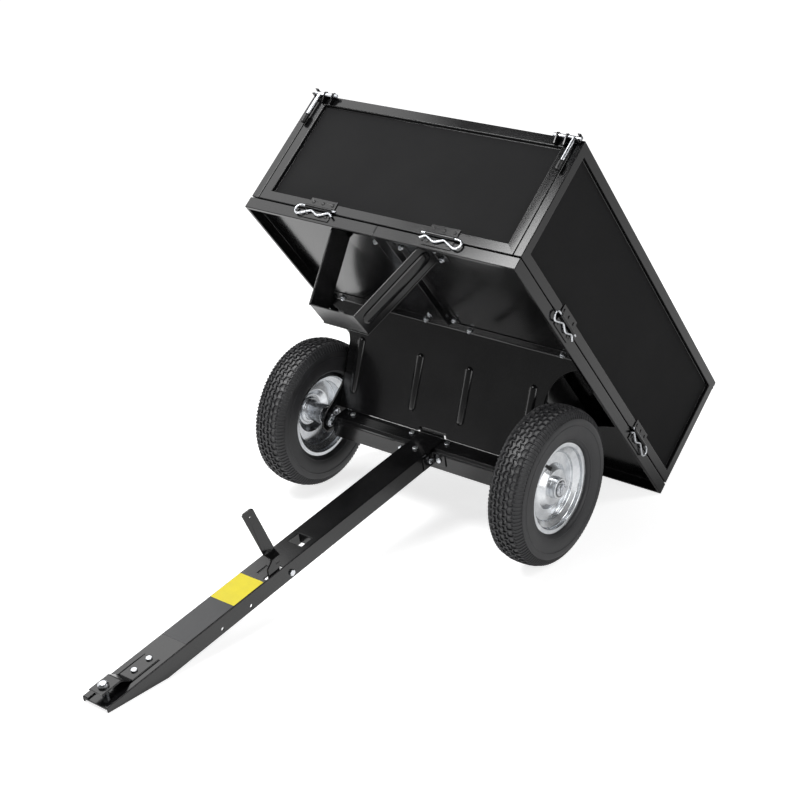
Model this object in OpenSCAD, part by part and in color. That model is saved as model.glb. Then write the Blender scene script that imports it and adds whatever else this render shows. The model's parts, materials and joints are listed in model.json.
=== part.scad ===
// Tipping dump cart: a folded steel bed on a two-wheel axle beam with a tongue, drawn with its bed tipped.
// Millimetres, +Z up, +X to the right wheel, -Y to the hitch, the ground at Z = 0.

/* [Wheels] */
// Outside diameter of a tyre
tyre_d = 400; // [380:1:420]
// Section width of a tyre
tyre_w = 98; // [90:1:104]
// Wall of a tyre
tyre_wall = 9; // [7:0.5:12]
// Diameter over the rim flanges
rim_d = 225; // [215:1:235]
// Width over the rim flanges
rim_w = 70; // [66:1:76]
// Height of the rim flanges above the tyre seat
rim_flange = 9; // [7:0.5:11]
// Depth of the well in the rim below the tyre seat
rim_well = 16; // [12:1:20]
// Thickness of the rim sheet
rim_t = 3; // [2:0.5:4]
// Distance between the wheel centre planes
track = 730; // [715:1:760]
// Outside diameter of a hub
hub_d = 52; // [48:1:58]
// Length of a hub
hub_l = 76; // [70:1:84]
// Outside diameter of a wheel bearing
bearing_d = 40; // [36:1:44]
// Width of a wheel bearing
bearing_w = 12; // [10:1:14]
// Diameter of a valve stem
valve_d = 8; // [6:0.5:10]
// Length of a valve stem outside the rim
valve_l = 26; // [20:1:30]

/* [Axle and beam] */
// Diameter of the axle shaft
shaft_d = 16; // [14:0.5:18]
// Running clearance on the axle shaft, on the radius
shaft_clear = 0.05; // [0.02:0.01:0.1]
// Thickness of the beam sheets
beam_t = 3; // [2.5:0.5:4]
// Reach of the beam in front of the axle
beam_front = 22; // [20:1:26]
// Reach of the beam behind the axle
beam_rear = 28; // [26:1:32]
// Depth of the beam below the axle
beam_drop = 41; // [34:1:48]
// Gap between the beam and a bed end plate
beam_gap = 16; // [14:1:30]
// Diameter of the frame and bed bolts
bolt_d = 8; // [6:0.5:9]

/* [Tongue] */
// Width of the tongue
tongue_w = 76; // [70:1:90]
// Depth of the tongue
tongue_h = 44; // [40:1:50]
// Thickness of the tongue sheet
tongue_t = 3.5; // [3:0.5:4]
// Length of the tongue in front of the axle
tongue_l = 1122; // [1080:1:1200]
// Length of the nose, where the flanges taper to the tip
nose_l = 168; // [160:1:180]
// Depth of the tongue at its tip
nose_h = 14; // [12:1:20]
// Clearance left under the nose
nose_clear = 1; // [0.5:0.5:4]
// Height of the tongue's top above the axle
tongue_top = 15.7; // [15.2:0.1:18]
// Width of the raised hitch jaw
jaw_w = 42; // [38:1:46]
// Width of the slit on the jaw's right; the left one is sheared
slit_w = 3; // [2:0.5:4]
// Length of the raised jaw with its ramp
jaw_l = 88; // [84:1:94]
// Length of the ramp
ramp_l = 26; // [22:1:30]
// Height of the hitch opening
jaw_gap = 20; // [17:1:26]
// Thickness of the lower hitch plate
hitch_t = 4; // [3:0.5:6]
// Diameter of the hitch pin
hitch_pin_d = 16; // [12:0.5:18]
// Clearance of the hitch pin in its holes, on the radius
hitch_clear = 0.08; // [0.03:0.01:0.1]
// Distance from the tongue's tip to the hitch pin
hitch_back = 31; // [27:1:36]
// Diameter of the chain holes in the flanges
chain_hole_d = 9; // [7:0.5:12]

/* [Release lever] */
// Width of the lever bar
lever_w = 30; // [26:1:34]
// Thickness of the lever bar
lever_t = 5; // [4:0.5:6]
// Length of the straight upper bar
lever_l = 146; // [120:1:180]
// Forward lean of the lever at rest, degrees
lever_lean = 17; // [12:1:20]
// Twist of the upper bar towards the front, degrees
lever_twist = 20; // [0:1:25]
// Diameter of the lever's pivot
lever_pin_d = 10; // [8:0.5:11]
// Running clearance on the lever's pivot, on the radius
lever_clear = 0.05; // [0.02:0.01:0.1]
// Diameter of the rope hole
rope_hole_d = 6; // [5:0.5:8]
// Diameter of the return spring
spring_d = 12; // [10:0.5:13]
// Thickness of the spring wire
spring_wire = 1.6; // [1.2:0.1:1.8]
// Turns of the return spring
spring_turns = 16; // [12:1:20]

/* [Bed] */
// Width of the bed
bed_w = 795; // [770:1:830]
// Length of the bed
bed_l = 1045; // [1000:1:1100]
// Thickness of the bed sheets
sheet = 2; // [1.5:0.5:2.5]
// Height of the sill around the floor
sill_h = 30; // [28:1:36]
// Width of the return flange under the sill
sill_return = 8; // [6:1:9]
// Distance from the bed's front to the axle
axle_v = 578; // [560:1:600]
// Distance from the sill's bottom down to the axle
axle_drop = 237; // [234:1:250]
// Clearance left under the tipped bed
bed_clear = 1.5; // [1:0.5:6]

/* [Saddle] */
// Half of the saddle's spread under the floor
saddle_half = 148; // [135:1:160]
// Thickness of the saddle sheets
saddle_t = 2.5; // [2:0.5:3]
// Width of the bolting flange under the floor
saddle_flange = 32; // [28:1:36]
// Height of the saddle's fold above the axle
apex_h = 32; // [31.5:0.5:42]
// Height of the two flanges joined at the fold
apex_flange = 26; // [20:1:30]
// Radius of the arches beside the wheels
arch_r = 106; // [95:1:112]
// Distance down the bulkhead to the arch's centre
arch_d = 122; // [118:1:130]
// Thickness of an end plate
end_t = 5; // [4:0.5:6]
// Gap between an end plate and the tyre
tyre_gap = 7; // [5:1:12]

/* [Hoop] */
// Distance from the bed's front to the hoop
hoop_front = 10; // [10:1:16]
// Width of the hoop strap
hoop_w = 78; // [64:1:90]
// Thickness of the hoop strap
hoop_t = 3; // [2.5:0.5:4]
// Depth of the hoop below the sill
hoop_drop = 200; // [190:1:204]
// Length of the hoop's foot
hoop_foot = 132; // [120:1:150]
// Spread of the hoop under the floor
hoop_spread = 268; // [250:1:290]
// Length of the striker tab
striker_l = 5; // [4:0.5:6]

/* [Side panels] */
// Height of the panels' top above the sill's bottom
panel_top = 350; // [320:1:400]
// Depth of a panel
panel_t = 22; // [20:1:26]
// Width of a panel's border
border = 26; // [26:1:34]
// Depth of a panel's recess
recess = 10; // [6:1:12]
// Gap under a panel
panel_lift = 3; // [2:0.5:4]
// Gap between neighbouring panels
panel_gap = 1; // [0.5:0.5:2]

/* [Hinges] */
// Length of a hinge
hinge_l = 80; // [70:1:100]
// Height of a hinge leaf
leaf_h = 22; // [18:1:22]
// Thickness of a hinge leaf
leaf_t = 2.5; // [2:0.5:3]
// Diameter of a hinge knuckle
knuckle_d = 10; // [9:0.5:11]
// Diameter of the R-clip wire
clip_d = 5.5; // [4:0.5:6]
// Running clearance on the clip wire, on the radius
clip_clear = 0.05; // [0.02:0.01:0.1]
// Distance from the bed's front to the front side hinges
hinge_front = 271; // [220:1:300]
// Distance from the bed's rear to the rear side hinges
hinge_rear = 246; // [220:1:300]
// Distance from the middle to the end panels' hinges
hinge_side = 179; // [140:1:220]

/* [Corner latches] */
// Diameter of a latch bolt
latch_d = 9; // [8:0.5:10]
// Running clearance on a latch bolt, on the radius
latch_clear = 0.05; // [0.02:0.01:0.1]
// Travel of a latch bolt
latch_travel = 12; // [12:1:20]
// Length of a latch handle
handle_l = 90; // [80:1:110]
// Diameter of a handle grip
grip_d = 13; // [12:0.5:18]
// Length of a handle grip
grip_l = 26; // [20:1:60]

/* [Hidden] */
$fn = 64;
eps = 1;
steel_black = "#262626";
zinc = "#c9ccd0";
rubber = "#1b1b1b";

// Poses of the tipped bed and of the tongue resting on the ground
axle_z = tyre_d / 2;
bed_behind = bed_l - axle_v;
tip = atan2(axle_drop, bed_behind) + asin((axle_z - bed_clear) / norm([bed_behind, axle_drop]));
nose_s = tongue_l - nose_l;
tongue_low = tongue_h - tongue_top;
slope = asin((axle_z - nose_clear) / norm([nose_s, tongue_low])) - atan2(tongue_low, nose_s);

// Hinge line of the panels: outside the sill face and above the sill
hinge_out = knuckle_d / 2 + 1;
hinge_w = sill_h + panel_lift + 3;
panel_inset = 0.5;
panel_w = sill_h + panel_lift;
panel_h = panel_top - panel_w;
end_panel_w = bed_w - 2 * (panel_inset + panel_t + panel_gap);
side_panel_w = bed_l - 2 * panel_inset;

// Corner latches, measured from the bed's corner along the end panel
latch_out = latch_d / 2 + 4.5;
latch_w = panel_top - 3;
keeper_in = 13;
rod_tip_in = 6;
handle_in = 24;
lug_t = 4;
lug_wall = 3.2;
lug_gap = 4.5;
lug_drop = 23;
lug_a_in = handle_in + latch_d / 2 + latch_travel + lug_t / 2 + 0.5;
lug_b_in = lug_a_in + 25;
rod_l = lug_b_in + 12 - rod_tip_in;
keeper_t = 8;
keeper_room = 1.5;
keeper_wall = 3.5;

// The whole cart is centred on Y = 0 between the tongue's tip and the rear keepers' prongs
keeper_prong = latch_d / 2 + 5;
keeper_half = latch_d / 2 + keeper_room;
front_y = -tongue_l * cos(slope) - tongue_top * sin(slope);
rear_prong = [bed_behind + latch_out + keeper_prong, axle_drop + latch_w + keeper_half + 1];
rear_y = rear_prong[0] * cos(tip) + rear_prong[1] * sin(tip);
y_shift = -(front_y + rear_y) / 2;

// Wheel
rim_r = rim_d / 2;
seat_r = rim_r - rim_flange;
well_r = seat_r - rim_well;
well_w = rim_w * 0.43;
tyre_r = tyre_d / 2;
hub_r = hub_d / 2;
shaft_r = shaft_d / 2;
fit = 0.03;
dish_h = 20;
valve_slant = 30;
valve_turn = 34;
washer_t = 2;
axle_nut_t = 8;
axle_nut_d = shaft_d * 1.75;
hub_out = track / 2 + hub_l / 2;
hub_in = track / 2 - hub_l / 2;
hub_gap = 0.3;
shaft_l = 2 * (hub_out + hub_gap + washer_t + axle_nut_t + 2);

// Saddle
end_x = track / 2 - tyre_w / 2 - tyre_gap - end_t;
saddle_w = bed_w - 2 * (sheet + 2);
floor_under = sill_h - sheet;
saddle_top = [axle_v - saddle_half, floor_under - saddle_t];
saddle_foot = [axle_v, apex_h - axle_drop];
saddle_run = saddle_foot - saddle_top;
saddle_len = norm(saddle_run);
saddle_slope = atan2(saddle_run[1], saddle_run[0]);
arch_x = end_x + arch_r;
rib_x = [end_x * 0.25, end_x * 0.88];
rib_w = 20;
rib_rise = 5;
lip_rise = 9;
notch_r = norm([beam_rear + tongue_t, tongue_top + lip_rise]) + 4;
pivot_bolt_r = 18;
pivot_plate_w = 20;
bush_r = shaft_r + 4;
flange_plate_t = 4;

// Bolts
bolt_r = bolt_d / 2;
bolt_room = 0.4;
bolt_head_r = bolt_d * 0.9;
bolt_head_h = bolt_d * 0.5;
nut_h = bolt_d * 0.8;
nut_flat = bolt_d * 1.6;
nut_r = nut_flat / 2 / cos(30);
bolt_tail = 4;
saddle_bolt_u = [-saddle_w * 0.43, -67, 67, saddle_w * 0.43];
saddle_bolt_v = saddle_half + saddle_flange / 2;
hoop_flange = 32;
hoop_bolt_u = hoop_spread / 2 + hoop_flange * 0.55;
hoop_bolt_v = [hoop_front + 28, hoop_front + hoop_w - 12];
strap_w = 50;
strap_depth = 16;
strap_bolt_u = strap_w / 2 + 12;
strap_rim = 22;
strap_end = axle_v - saddle_half - saddle_flange - 4;
strap_start = sill_return + 2;
strap_bolt_v = [strap_start + 55, strap_end - 16];

// Beam and tongue
lip_t = tongue_top - tongue_t;
beam_l = 2 * (end_x - beam_gap);
angle_t = lip_t - 2 * beam_t;
angle_bolt_s = -(beam_rear - beam_t - nut_flat / 2 - 1.5);
angle_bolt_x = [-beam_l / 2 + 40, -56, 56, beam_l / 2 - 40];
bracket_t = 3.5;
bracket_h = 34;
bracket_leg = 40;
bracket_s = beam_front + 16;
bracket_low = lip_t - 4 - bracket_h;
bracket_mid = bracket_low + bracket_h / 2;
bracket_bolt_x = tongue_w / 2 + 22;
top_bolt_s = beam_front + 18;
hitch_s = tongue_l - hitch_back;
jaw_s = tongue_l - jaw_l;
hitch_bolt_back = [70, 26];
hitch_bolt_s = [for (back = hitch_bolt_back) jaw_s - back];
hitch_plate_w = tongue_w - 2 * tongue_t - 2;
hitch_plate_tail = 90;
hitch_plate_l = jaw_l + hitch_plate_tail;
chain_back = [432, 339];
chain_s = [for (back = chain_back) tongue_l - back];
chain_t = tongue_top - tongue_h * 0.72;

// Lever: the hoop's foot comes down at strike_s, strike_t beside it
strike_s = axle_v - hoop_front;
strike_t = axle_drop - hoop_drop;
lever_x = tongue_w / 2 - tongue_t - 1;
lever_pivot_at = [strike_s - 14, tongue_top - 28.4];
shoulder_t = strike_t - 4;
throat_t = strike_t + hoop_t + 5;
upper_x = lever_x - 18.5;
jog_low = throat_t + 4;
jog_high = jog_low + 10;
bar_foot = [strike_s + 18, throat_t + 8];
bar_dir = [sin(lever_lean), cos(lever_lean)];
bar_side = [cos(lever_lean), -sin(lever_lean)];
bar_up = 14;
bar_root = bar_foot + bar_up * bar_dir;
bar_lap = 6;
bar_chamfer = 5;
rope_hole_up = lever_l - 20;
boss_r = 13;
peg_at = [strike_s + 24, tongue_top - 11];
peg_r = 3;
peg_x = lever_x - lever_t - 14;
slot_s = [strike_s + 7, strike_s + 61.5];
window_s = [strike_s - 110, strike_s - 74];
window_w = 42;
flap_h = 22;
sight_slot_s = [strike_s + 21, strike_s + 53];
sight_slot_w = 5;
shear_w = 0.8;

// R-clip: a straight leg through the knuckles, an eye, and a wavy leg beside it
knuckle_l = hinge_l / 3;
knuckle_room = 0.5;
clip_r = clip_d / 2;
clip_ahead = 12;
clip_eye_r = 9;
clip_tilt = -72;
rivet_r = 2.4;
rivet_room = 0.1;
rivet_head_r = 4.2;
rivet_head_h = 2;
rivet_x = [-hinge_l * 0.36, 0, hinge_l * 0.36];
leaf_root = knuckle_d / 2 + 1;
rivet_z = leaf_root + leaf_h / 2;

// Least gap between neighbouring turns of the spring, measured on its points
spring_a = [peg_x + 6, -(window_s[0] + 0.6), peg_at[1]];
spring_b = [peg_x + 6, -(peg_at[0] - peg_r - 0.3), peg_at[1]];
spring_run = spring_a[1] - spring_b[1];
spring_pitch = (spring_run - 2 * spring_d) / spring_turns;
spring_steps = 8;
echo(spring_least_gap = norm(coil_point(spring_steps) - coil_point(0)) - spring_wire);

// A bent strip of sheet: the line of its bends, thickened to the left of its run
function unit(v) = v / norm(v);
function left_of(v) = [-v[1], v[0]];
function run_normal(p, i) = left_of(unit(p[i + 1] - p[i]));
function bend_offset(p, i, t) =
    i == 0 ? p[0] + t * run_normal(p, 0)
    : i == len(p) - 1 ? p[i] + t * run_normal(p, i - 1)
    : let (a = run_normal(p, i - 1), b = run_normal(p, i)) p[i] + t * (a + b) / (1 + a * b);
function strip(p, t) = concat(p, [for (i = [len(p) - 1 : -1 : 0]) bend_offset(p, i, t)]);

// Points of a wire bent in a plane: each step is a straight run [0, length] or an arc [radius, turn]
function bent_path(steps, at, head, i = 0) =
    i == len(steps) ? []
    : steps[i][0] == 0
        ? let (next = at + steps[i][1] * [cos(head), sin(head)])
          concat([next], bent_path(steps, next, head, i + 1))
        : let (
            turn = steps[i][1],
            arm = sign(turn) * steps[i][0],
            centre = at + arm * left_of([cos(head), sin(head)]),
            n = ceil(abs(turn) / 25),
            arc = [
                for (k = [1 : n])
                    let (a = head + turn * k / n)
                    centre - arm * left_of([cos(a), sin(a)])
            ]
          )
          concat(arc, bent_path(steps, arc[n - 1], head + turn, i + 1));

// A tube of six sides along a path; ref is a direction that the path never runs along
function path_ring(p, i, r, ref) =
    let (
        d = unit(p[min(i + 1, len(p) - 1)] - p[max(i - 1, 0)]),
        side = unit(cross(d, ref)),
        rise = cross(side, d)
    )
    [for (k = [0 : 5]) p[i] + r * (cos(60 * k) * side + sin(60 * k) * rise)];
module tube(path, r, ref) {
    n = len(path);
    points = [for (i = [0 : n - 1]) each path_ring(path, i, r, ref)];
    walls = [
        for (i = [0 : n - 2], k = [0 : 5])
            let (a = 6 * i + k, b = 6 * i + (k + 1) % 6)
            each [[a, b, a + 6], [b, b + 6, a + 6]]
    ];
    first = [for (k = [1 : 4]) [0, k + 1, k]];
    last = [for (k = [1 : 4]) [6 * n - 6, 6 * n - 6 + k, 6 * n - 6 + k + 1]];
    polyhedron(points = points, faces = concat(walls, first, last), convexity = 8);
}

// A rounded-square outline of half sizes a and b about a centre
function squircle(centre, a, b, power, steps) = [
    for (i = [0 : steps - 1])
        let (c = cos(360 * i / steps), s = sin(360 * i / steps))
        centre + [a * sign(c) * pow(abs(c), 2 / power), b * sign(s) * pow(abs(s), 2 / power)]
];

// Places and directions
module about_x() rotate([0, 90, 0]) rotate_extrude($fn = 96) children();
module along_x(l) rotate([90, 0, 90]) linear_extrude(height = l, center = true) children();
module along_y(l) rotate([90, 0, 0]) linear_extrude(height = l, center = true) children();
module rod_x(r, l) rotate([0, 90, 0]) cylinder(r = r, h = l, center = true);
module at_axle() translate([0, y_shift, axle_z]) children();
module on_tongue() at_axle() rotate([slope, 0, 0]) children();
module on_bed() at_axle() rotate([-tip, 0, 0]) translate([0, -axle_v, axle_drop]) children();
module mirrored(side) mirror([side < 0 ? 1 : 0, 0, 0]) children();
module block(x, y, z) translate([x[0], y[0], z[0]]) cube([x[1] - x[0], y[1] - y[0], z[1] - z[0]]);
module slab(w, y, z) block([-w / 2, w / 2], y, z);

// Each panel's own frame: X along the panel, Y outward from the sill face, Z up from the sill's bottom
module at_front() rotate([0, 0, 180]) children();
module at_rear() translate([0, bed_l, 0]) children();
module at_right() translate([bed_w / 2, bed_l / 2, 0]) rotate([0, 0, -90]) children();
module at_left() translate([-bed_w / 2, bed_l / 2, 0]) rotate([0, 0, 90]) children();
function side_hinges(side) = [side * (bed_l / 2 - hinge_front), -side * (bed_l / 2 - hinge_rear)];
end_hinges = [-hinge_side, hinge_side];
module at_hinges(list) for (x = list) translate([x, 0, hinge_w]) mirrored(x) children();

// Fasteners: a round-headed bolt standing up through a grip of sheet, and its nut below
module bolt(grip) {
    cylinder(r = bolt_head_r, h = bolt_head_h);
    translate([0, 0, -grip - nut_h - bolt_tail]) cylinder(r = bolt_r, h = grip + nut_h + bolt_tail + eps);
}
module nut(grip) translate([0, 0, -grip - nut_h]) difference() {
    rotate(30) cylinder(r = nut_r, h = nut_h, $fn = 6);
    translate([0, 0, -eps]) cylinder(r = bolt_r + fit, h = nut_h + 2 * eps);
}
module fastener(grip) {
    bolt(grip);
    nut(grip);
}
module bolt_hole(depth = 40) translate([0, 0, -depth]) cylinder(r = bolt_r + bolt_room, h = 2 * depth);

// Wheels
module at_wheel(side) translate([side * track / 2, y_shift, axle_z]) mirrored(side) children();
module tyre(side) {
    bead_h = rim_w / 2 - rim_t - 0.2;
    mid = (tyre_r + seat_r) / 2;
    color(rubber) at_wheel(side) about_x() difference() {
        polygon(squircle([mid, 0], (tyre_r - seat_r) / 2, tyre_w / 2, 2.9, 48));
        polygon(squircle([mid - tyre_wall, 0], (tyre_r - seat_r) / 2, tyre_w / 2 - tyre_wall, 2.6, 40));
        for (s = [-1, 1]) translate([0, s > 0 ? bead_h : -bead_h - tyre_w]) square([rim_r + 0.4, tyre_w]);
        translate([0, -tyre_w]) square([seat_r + fit, 2 * tyre_w]);
    }
}
module valve_axis() rotate([valve_turn, 0, 0])
    translate([well_w / 2 + 4, 0, (seat_r + well_r) / 2]) rotate([0, 90 + valve_slant, 0]) children();
module rim(side) {
    bead = rim_w / 2 - rim_t;
    barrel = [
        [rim_r, -bead], [seat_r, -bead], [seat_r - 1, -well_w / 2 - 8], [well_r, -well_w / 2],
        [well_r, well_w / 2], [seat_r - 1, well_w / 2 + 8], [seat_r, bead], [rim_r, bead]
    ];
    disc = [[hub_r + fit, dish_h], [hub_r + 16, dish_h], [hub_r + 30, 7], [well_r - rim_t + 0.5, 7]];
    color(zinc) at_wheel(side) difference() {
        about_x() union() {
            polygon(strip(barrel, rim_t));
            polygon(strip(disc, rim_t));
        }
        valve_axis() cylinder(r = valve_d / 2 + fit, h = 60, center = true);
    }
}
module hub(side) {
    pocket = bearing_d / 2 + fit;
    color(zinc) at_wheel(side) about_x() difference() {
        union() {
            translate([0, -hub_l / 2]) square([hub_r, hub_l]);
            translate([0, dish_h - 5]) square([hub_r + 8, 5]);
        }
        translate([0, -hub_l]) square([bearing_d / 2 - 4, 2 * hub_l]);
        for (s = [-1, 1]) translate([0, s > 0 ? hub_l / 2 - bearing_w : -hub_l / 2 - eps])
            square([pocket, bearing_w + eps]);
    }
}
module bearings(side) color(zinc) at_wheel(side) for (s = [-1, 1]) about_x()
    translate([shaft_r + shaft_clear, s * (hub_l - bearing_w) / 2 - bearing_w / 2])
        square([(bearing_d - shaft_d) / 2 - shaft_clear, bearing_w]);
module valve(side) color(rubber) at_wheel(side) valve_axis() {
    translate([0, 0, -9]) cylinder(r = valve_d / 2, h = valve_l + 9);
    translate([0, 0, valve_l - 9]) cylinder(r = valve_d / 2 + 0.8, h = 9);
}
module axle_shaft() color(zinc) at_axle() rod_x(shaft_r, shaft_l);
module axle_spacer() about_x()
    translate([shaft_r + fit, end_x + end_t + 0.4]) square([5, hub_in - end_x - end_t - 0.4 - hub_gap]);
module axle_nut() translate([hub_out + hub_gap, 0, 0]) rotate([0, 90, 0]) difference() {
    union() {
        cylinder(d = axle_nut_d * 1.25, h = washer_t);
        translate([0, 0, washer_t]) cylinder(d = axle_nut_d, h = axle_nut_t, $fn = 6);
    }
    translate([0, 0, -eps]) cylinder(r = shaft_r + fit, h = washer_t + axle_nut_t + 2 * eps);
}
module axle_fittings() color(zinc) at_axle() for (side = [-1, 1]) mirrored(side) {
    axle_spacer();
    axle_nut();
}

// Axle beam: a front pressing with a wide top lip, and an angle bolted behind it
module beam_bolts() for (x = angle_bolt_x) translate([x, -angle_bolt_s, lip_t]) children();
module face_bolts() for (s = [-1, 1])
    translate([s * bracket_bolt_x, -beam_front - bracket_t, bracket_mid]) rotate([90, 0, 0]) children();
module axle_beam() {
    line = [
        [beam_rear + 6, lip_t], [-beam_front + 10, lip_t], [-beam_front + 6, 5], [-beam_front, 3],
        [-beam_front, -beam_drop], [-beam_front + 10, -beam_drop]
    ];
    cap = [
        [beam_rear - beam_t, angle_t], [-beam_front + 8, angle_t], [-beam_front + beam_t / 2, 0],
        [-beam_front + beam_t / 2, -beam_drop], [beam_rear - beam_t, -beam_drop]
    ];
    color(steel_black) on_tongue() difference() {
        union() {
            along_x(beam_l) polygon(strip(line, beam_t));
            for (s = [-1, 1]) translate([s * (beam_l - beam_t) / 2, 0, 0]) along_x(beam_t) polygon(cap);
        }
        rod_x(shaft_r + fit, 2 * beam_l);
        beam_bolts() bolt_hole(12);
        face_bolts() bolt_hole(12);
        inner_bolts() bolt_hole(12);
    }
}
module beam_rear_angle() color(steel_black) on_tongue() difference() {
    along_x(beam_l - 2 * beam_t - 1)
        polygon(strip([[shaft_r + 2, angle_t], [beam_rear - beam_t, angle_t],
            [beam_rear - beam_t, -beam_drop]], beam_t));
    beam_bolts() bolt_hole(12);
}

// Tongue, in its own frame: -Y forward along it, Z up from the axle
module flange_bolts() for (s = [-1, 1])
    translate([s * (tongue_w / 2 + bracket_t), -bracket_s, bracket_mid]) rotate([0, s * 90, 0]) children();
module top_bolt() translate([0, -top_bolt_s, tongue_top]) children();
module inner_bolts() for (s = [-1, 1])
    translate([s * 17, -beam_front - bracket_t, bracket_mid - 4]) rotate([90, 0, 0]) children();
module hitch_bolts() for (s = hitch_bolt_s) translate([0, -s, tongue_top]) children();
module tongue() {
    depth = [
        [-beam_front - bracket_t - 1, tongue_top], [-tongue_l, tongue_top], [-tongue_l, tongue_top - nose_h],
        [-nose_s, -tongue_low], [-beam_front - bracket_t - 1, -tongue_low]
    ];
    jaw_t = lip_t + jaw_gap;
    jaw = [[-jaw_s + 4, lip_t], [-jaw_s, lip_t], [-jaw_s - ramp_l, jaw_t], [-tongue_l + 8, jaw_t]];
    color(steel_black) on_tongue() difference() {
        union() {
            difference() {
                along_x(tongue_w) polygon(depth);
                slab(tongue_w - 2 * tongue_t, [-tongue_l - eps, 0], [-tongue_h, lip_t]);
                block([jaw_w / 2, jaw_w / 2 + slit_w], [-tongue_l - eps, -nose_s - 2], [0, tongue_h]);
                block([-jaw_w / 2 - shear_w, -jaw_w / 2], [-tongue_l - eps, -nose_s - 2], [0, tongue_h]);
                slab(jaw_w + eps, [-tongue_l - eps, -jaw_s], [0, tongue_h]);
                slab(window_w, [-window_s[1], -window_s[0]], [0, tongue_h]);
            }
            slab(tongue_w, [-beam_front - bracket_t - 2, beam_rear + tongue_t], [lip_t, tongue_top]);
            slab(tongue_w, [beam_rear, beam_rear + tongue_t], [lip_t, tongue_top + lip_rise]);
            slab(window_w, [-window_s[0] - 0.01, -window_s[0] + tongue_t], [lip_t - flap_h, tongue_top]);
            along_x(jaw_w) polygon(strip(jaw, -tongue_t));
        }
        block([lever_x - lever_t - 2, lever_x + 1.2], [-slot_s[1], -slot_s[0]], [0, tongue_h]);
        slab(sight_slot_w, [-sight_slot_s[1], -sight_slot_s[0]], [0, tongue_h]);
        translate([0, -hitch_s, 0]) cylinder(r = hitch_pin_d / 2 + hitch_clear, h = tongue_h * 2);
        for (s = chain_s) translate([0, -s, chain_t]) rod_x(chain_hole_d / 2, 2 * tongue_w);
        at_lever_pivot() rod_x(lever_pin_d / 2 + 0.2, 4 * tongue_t);
        flange_bolts() bolt_hole(12);
        top_bolt() bolt_hole(12);
        hitch_bolts() bolt_hole(12);
    }
}
module hitch_plate() color(steel_black) on_tongue() difference() {
    slab(hitch_plate_w, [-tongue_l, -tongue_l + hitch_plate_l], [lip_t - hitch_t, lip_t]);
    translate([0, -hitch_s, 0]) cylinder(r = hitch_pin_d / 2 + hitch_clear, h = tongue_h);
    hitch_bolts() bolt_hole(12);
}
module hitch_pin() color(zinc) on_tongue() translate([0, -hitch_s, tongue_top + jaw_gap]) {
    cylinder(r = hitch_pin_d / 2 + 4, h = 5);
    translate([0, 0, 5]) cylinder(r1 = hitch_pin_d / 2 + 4, r2 = hitch_pin_d / 2, h = 3);
    reach = jaw_gap + tongue_t + hitch_t + 6;
    translate([0, 0, -reach]) cylinder(d = hitch_pin_d, h = reach + eps);
    translate([0, 0, -reach - 4]) cylinder(d1 = hitch_pin_d - 6, d2 = hitch_pin_d, h = 4);
}
module tongue_brackets() {
    face = -beam_front;
    inner_w = tongue_w - 2 * tongue_t - 1;
    color(steel_black) on_tongue() difference() {
        union() {
            for (s = [-1, 1]) mirrored(s) translate([0, 0, bracket_low]) linear_extrude(height = bracket_h)
                polygon(strip([[tongue_w / 2, face - bracket_leg], [tongue_w / 2, face],
                    [tongue_w / 2 + bracket_leg, face]], -bracket_t));
            along_x(inner_w) polygon(strip([[face, bracket_low], [face, lip_t],
                [face - bracket_leg, lip_t]], bracket_t));
        }
        flange_bolts() bolt_hole(12);
        face_bolts() bolt_hole(12);
        inner_bolts() bolt_hole(12);
        top_bolt() bolt_hole(12);
    }
}
module tongue_bolts() color(zinc) on_tongue() {
    beam_bolts() fastener(2 * beam_t);
    face_bolts() fastener(bracket_t + beam_t);
    inner_bolts() fastener(bracket_t + beam_t);
    flange_bolts() fastener(bracket_t + tongue_t);
    top_bolt() fastener(tongue_t + bracket_t);
    hitch_bolts() fastener(tongue_t + hitch_t);
}

// Release lever: a flat bar jogged towards the middle and twisted to the front, with a hook beside the tongue
module lever_side() {
    p = lever_pivot_at;
    difference() {
        union() {
            translate([-p[0], p[1]]) circle(r = boss_r);
            polygon([for (q = [
                [strike_s + 16, tongue_top - 6], [strike_s + 9, shoulder_t], [strike_s + 23, shoulder_t],
                [strike_s + 23, throat_t], [strike_s + 7, throat_t + 2],
                bar_foot - lever_w / 2 * bar_side, bar_root - lever_w / 2 * bar_side,
                bar_root + lever_w / 2 * bar_side, bar_foot + lever_w / 2 * bar_side,
                [strike_s + 50, shoulder_t + 1], [strike_s + 52, tongue_top - 12],
                [strike_s + 22, tongue_top - 34], p + [5, -12], p + [-5, 11]
            ]) [-q[0], q[1]]]);
        }
        translate([-p[0], p[1]]) circle(d = lever_pin_d + 2 * lever_clear);
    }
}
module lever_bar() translate([upper_x - lever_t / 2, -bar_foot[0], bar_foot[1]])
    rotate([lever_lean, 0, 0]) rotate([0, 0, -lever_twist]) difference() {
        along_x(lever_t) polygon([
            [-lever_w / 2, bar_up - bar_lap], [lever_w / 2, bar_up - bar_lap],
            [lever_w / 2, lever_l - bar_chamfer], [lever_w / 2 - bar_chamfer, lever_l],
            [bar_chamfer - lever_w / 2, lever_l], [-lever_w / 2, lever_l - bar_chamfer]
        ]);
        translate([0, 0, rope_hole_up]) rod_x(rope_hole_d / 2, 4 * lever_t);
    }
module lever() {
    jog = [[lever_x, -tongue_h], [lever_x, jog_low], [upper_x, jog_high], [upper_x, 2 * lever_l]];
    color(steel_black) on_tongue() {
        intersection() {
            along_x(2 * tongue_w) lever_side();
            translate([0, -strike_s, 0]) along_y(4 * lever_l) polygon(strip(jog, lever_t));
        }
        lever_bar();
        translate([(peg_x + lever_x - 1) / 2, -peg_at[0], peg_at[1]]) rod_x(peg_r, lever_x - 1 - peg_x);
    }
}
module at_lever_pivot() translate([tongue_w / 2, -lever_pivot_at[0], lever_pivot_at[1]]) children();
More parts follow.
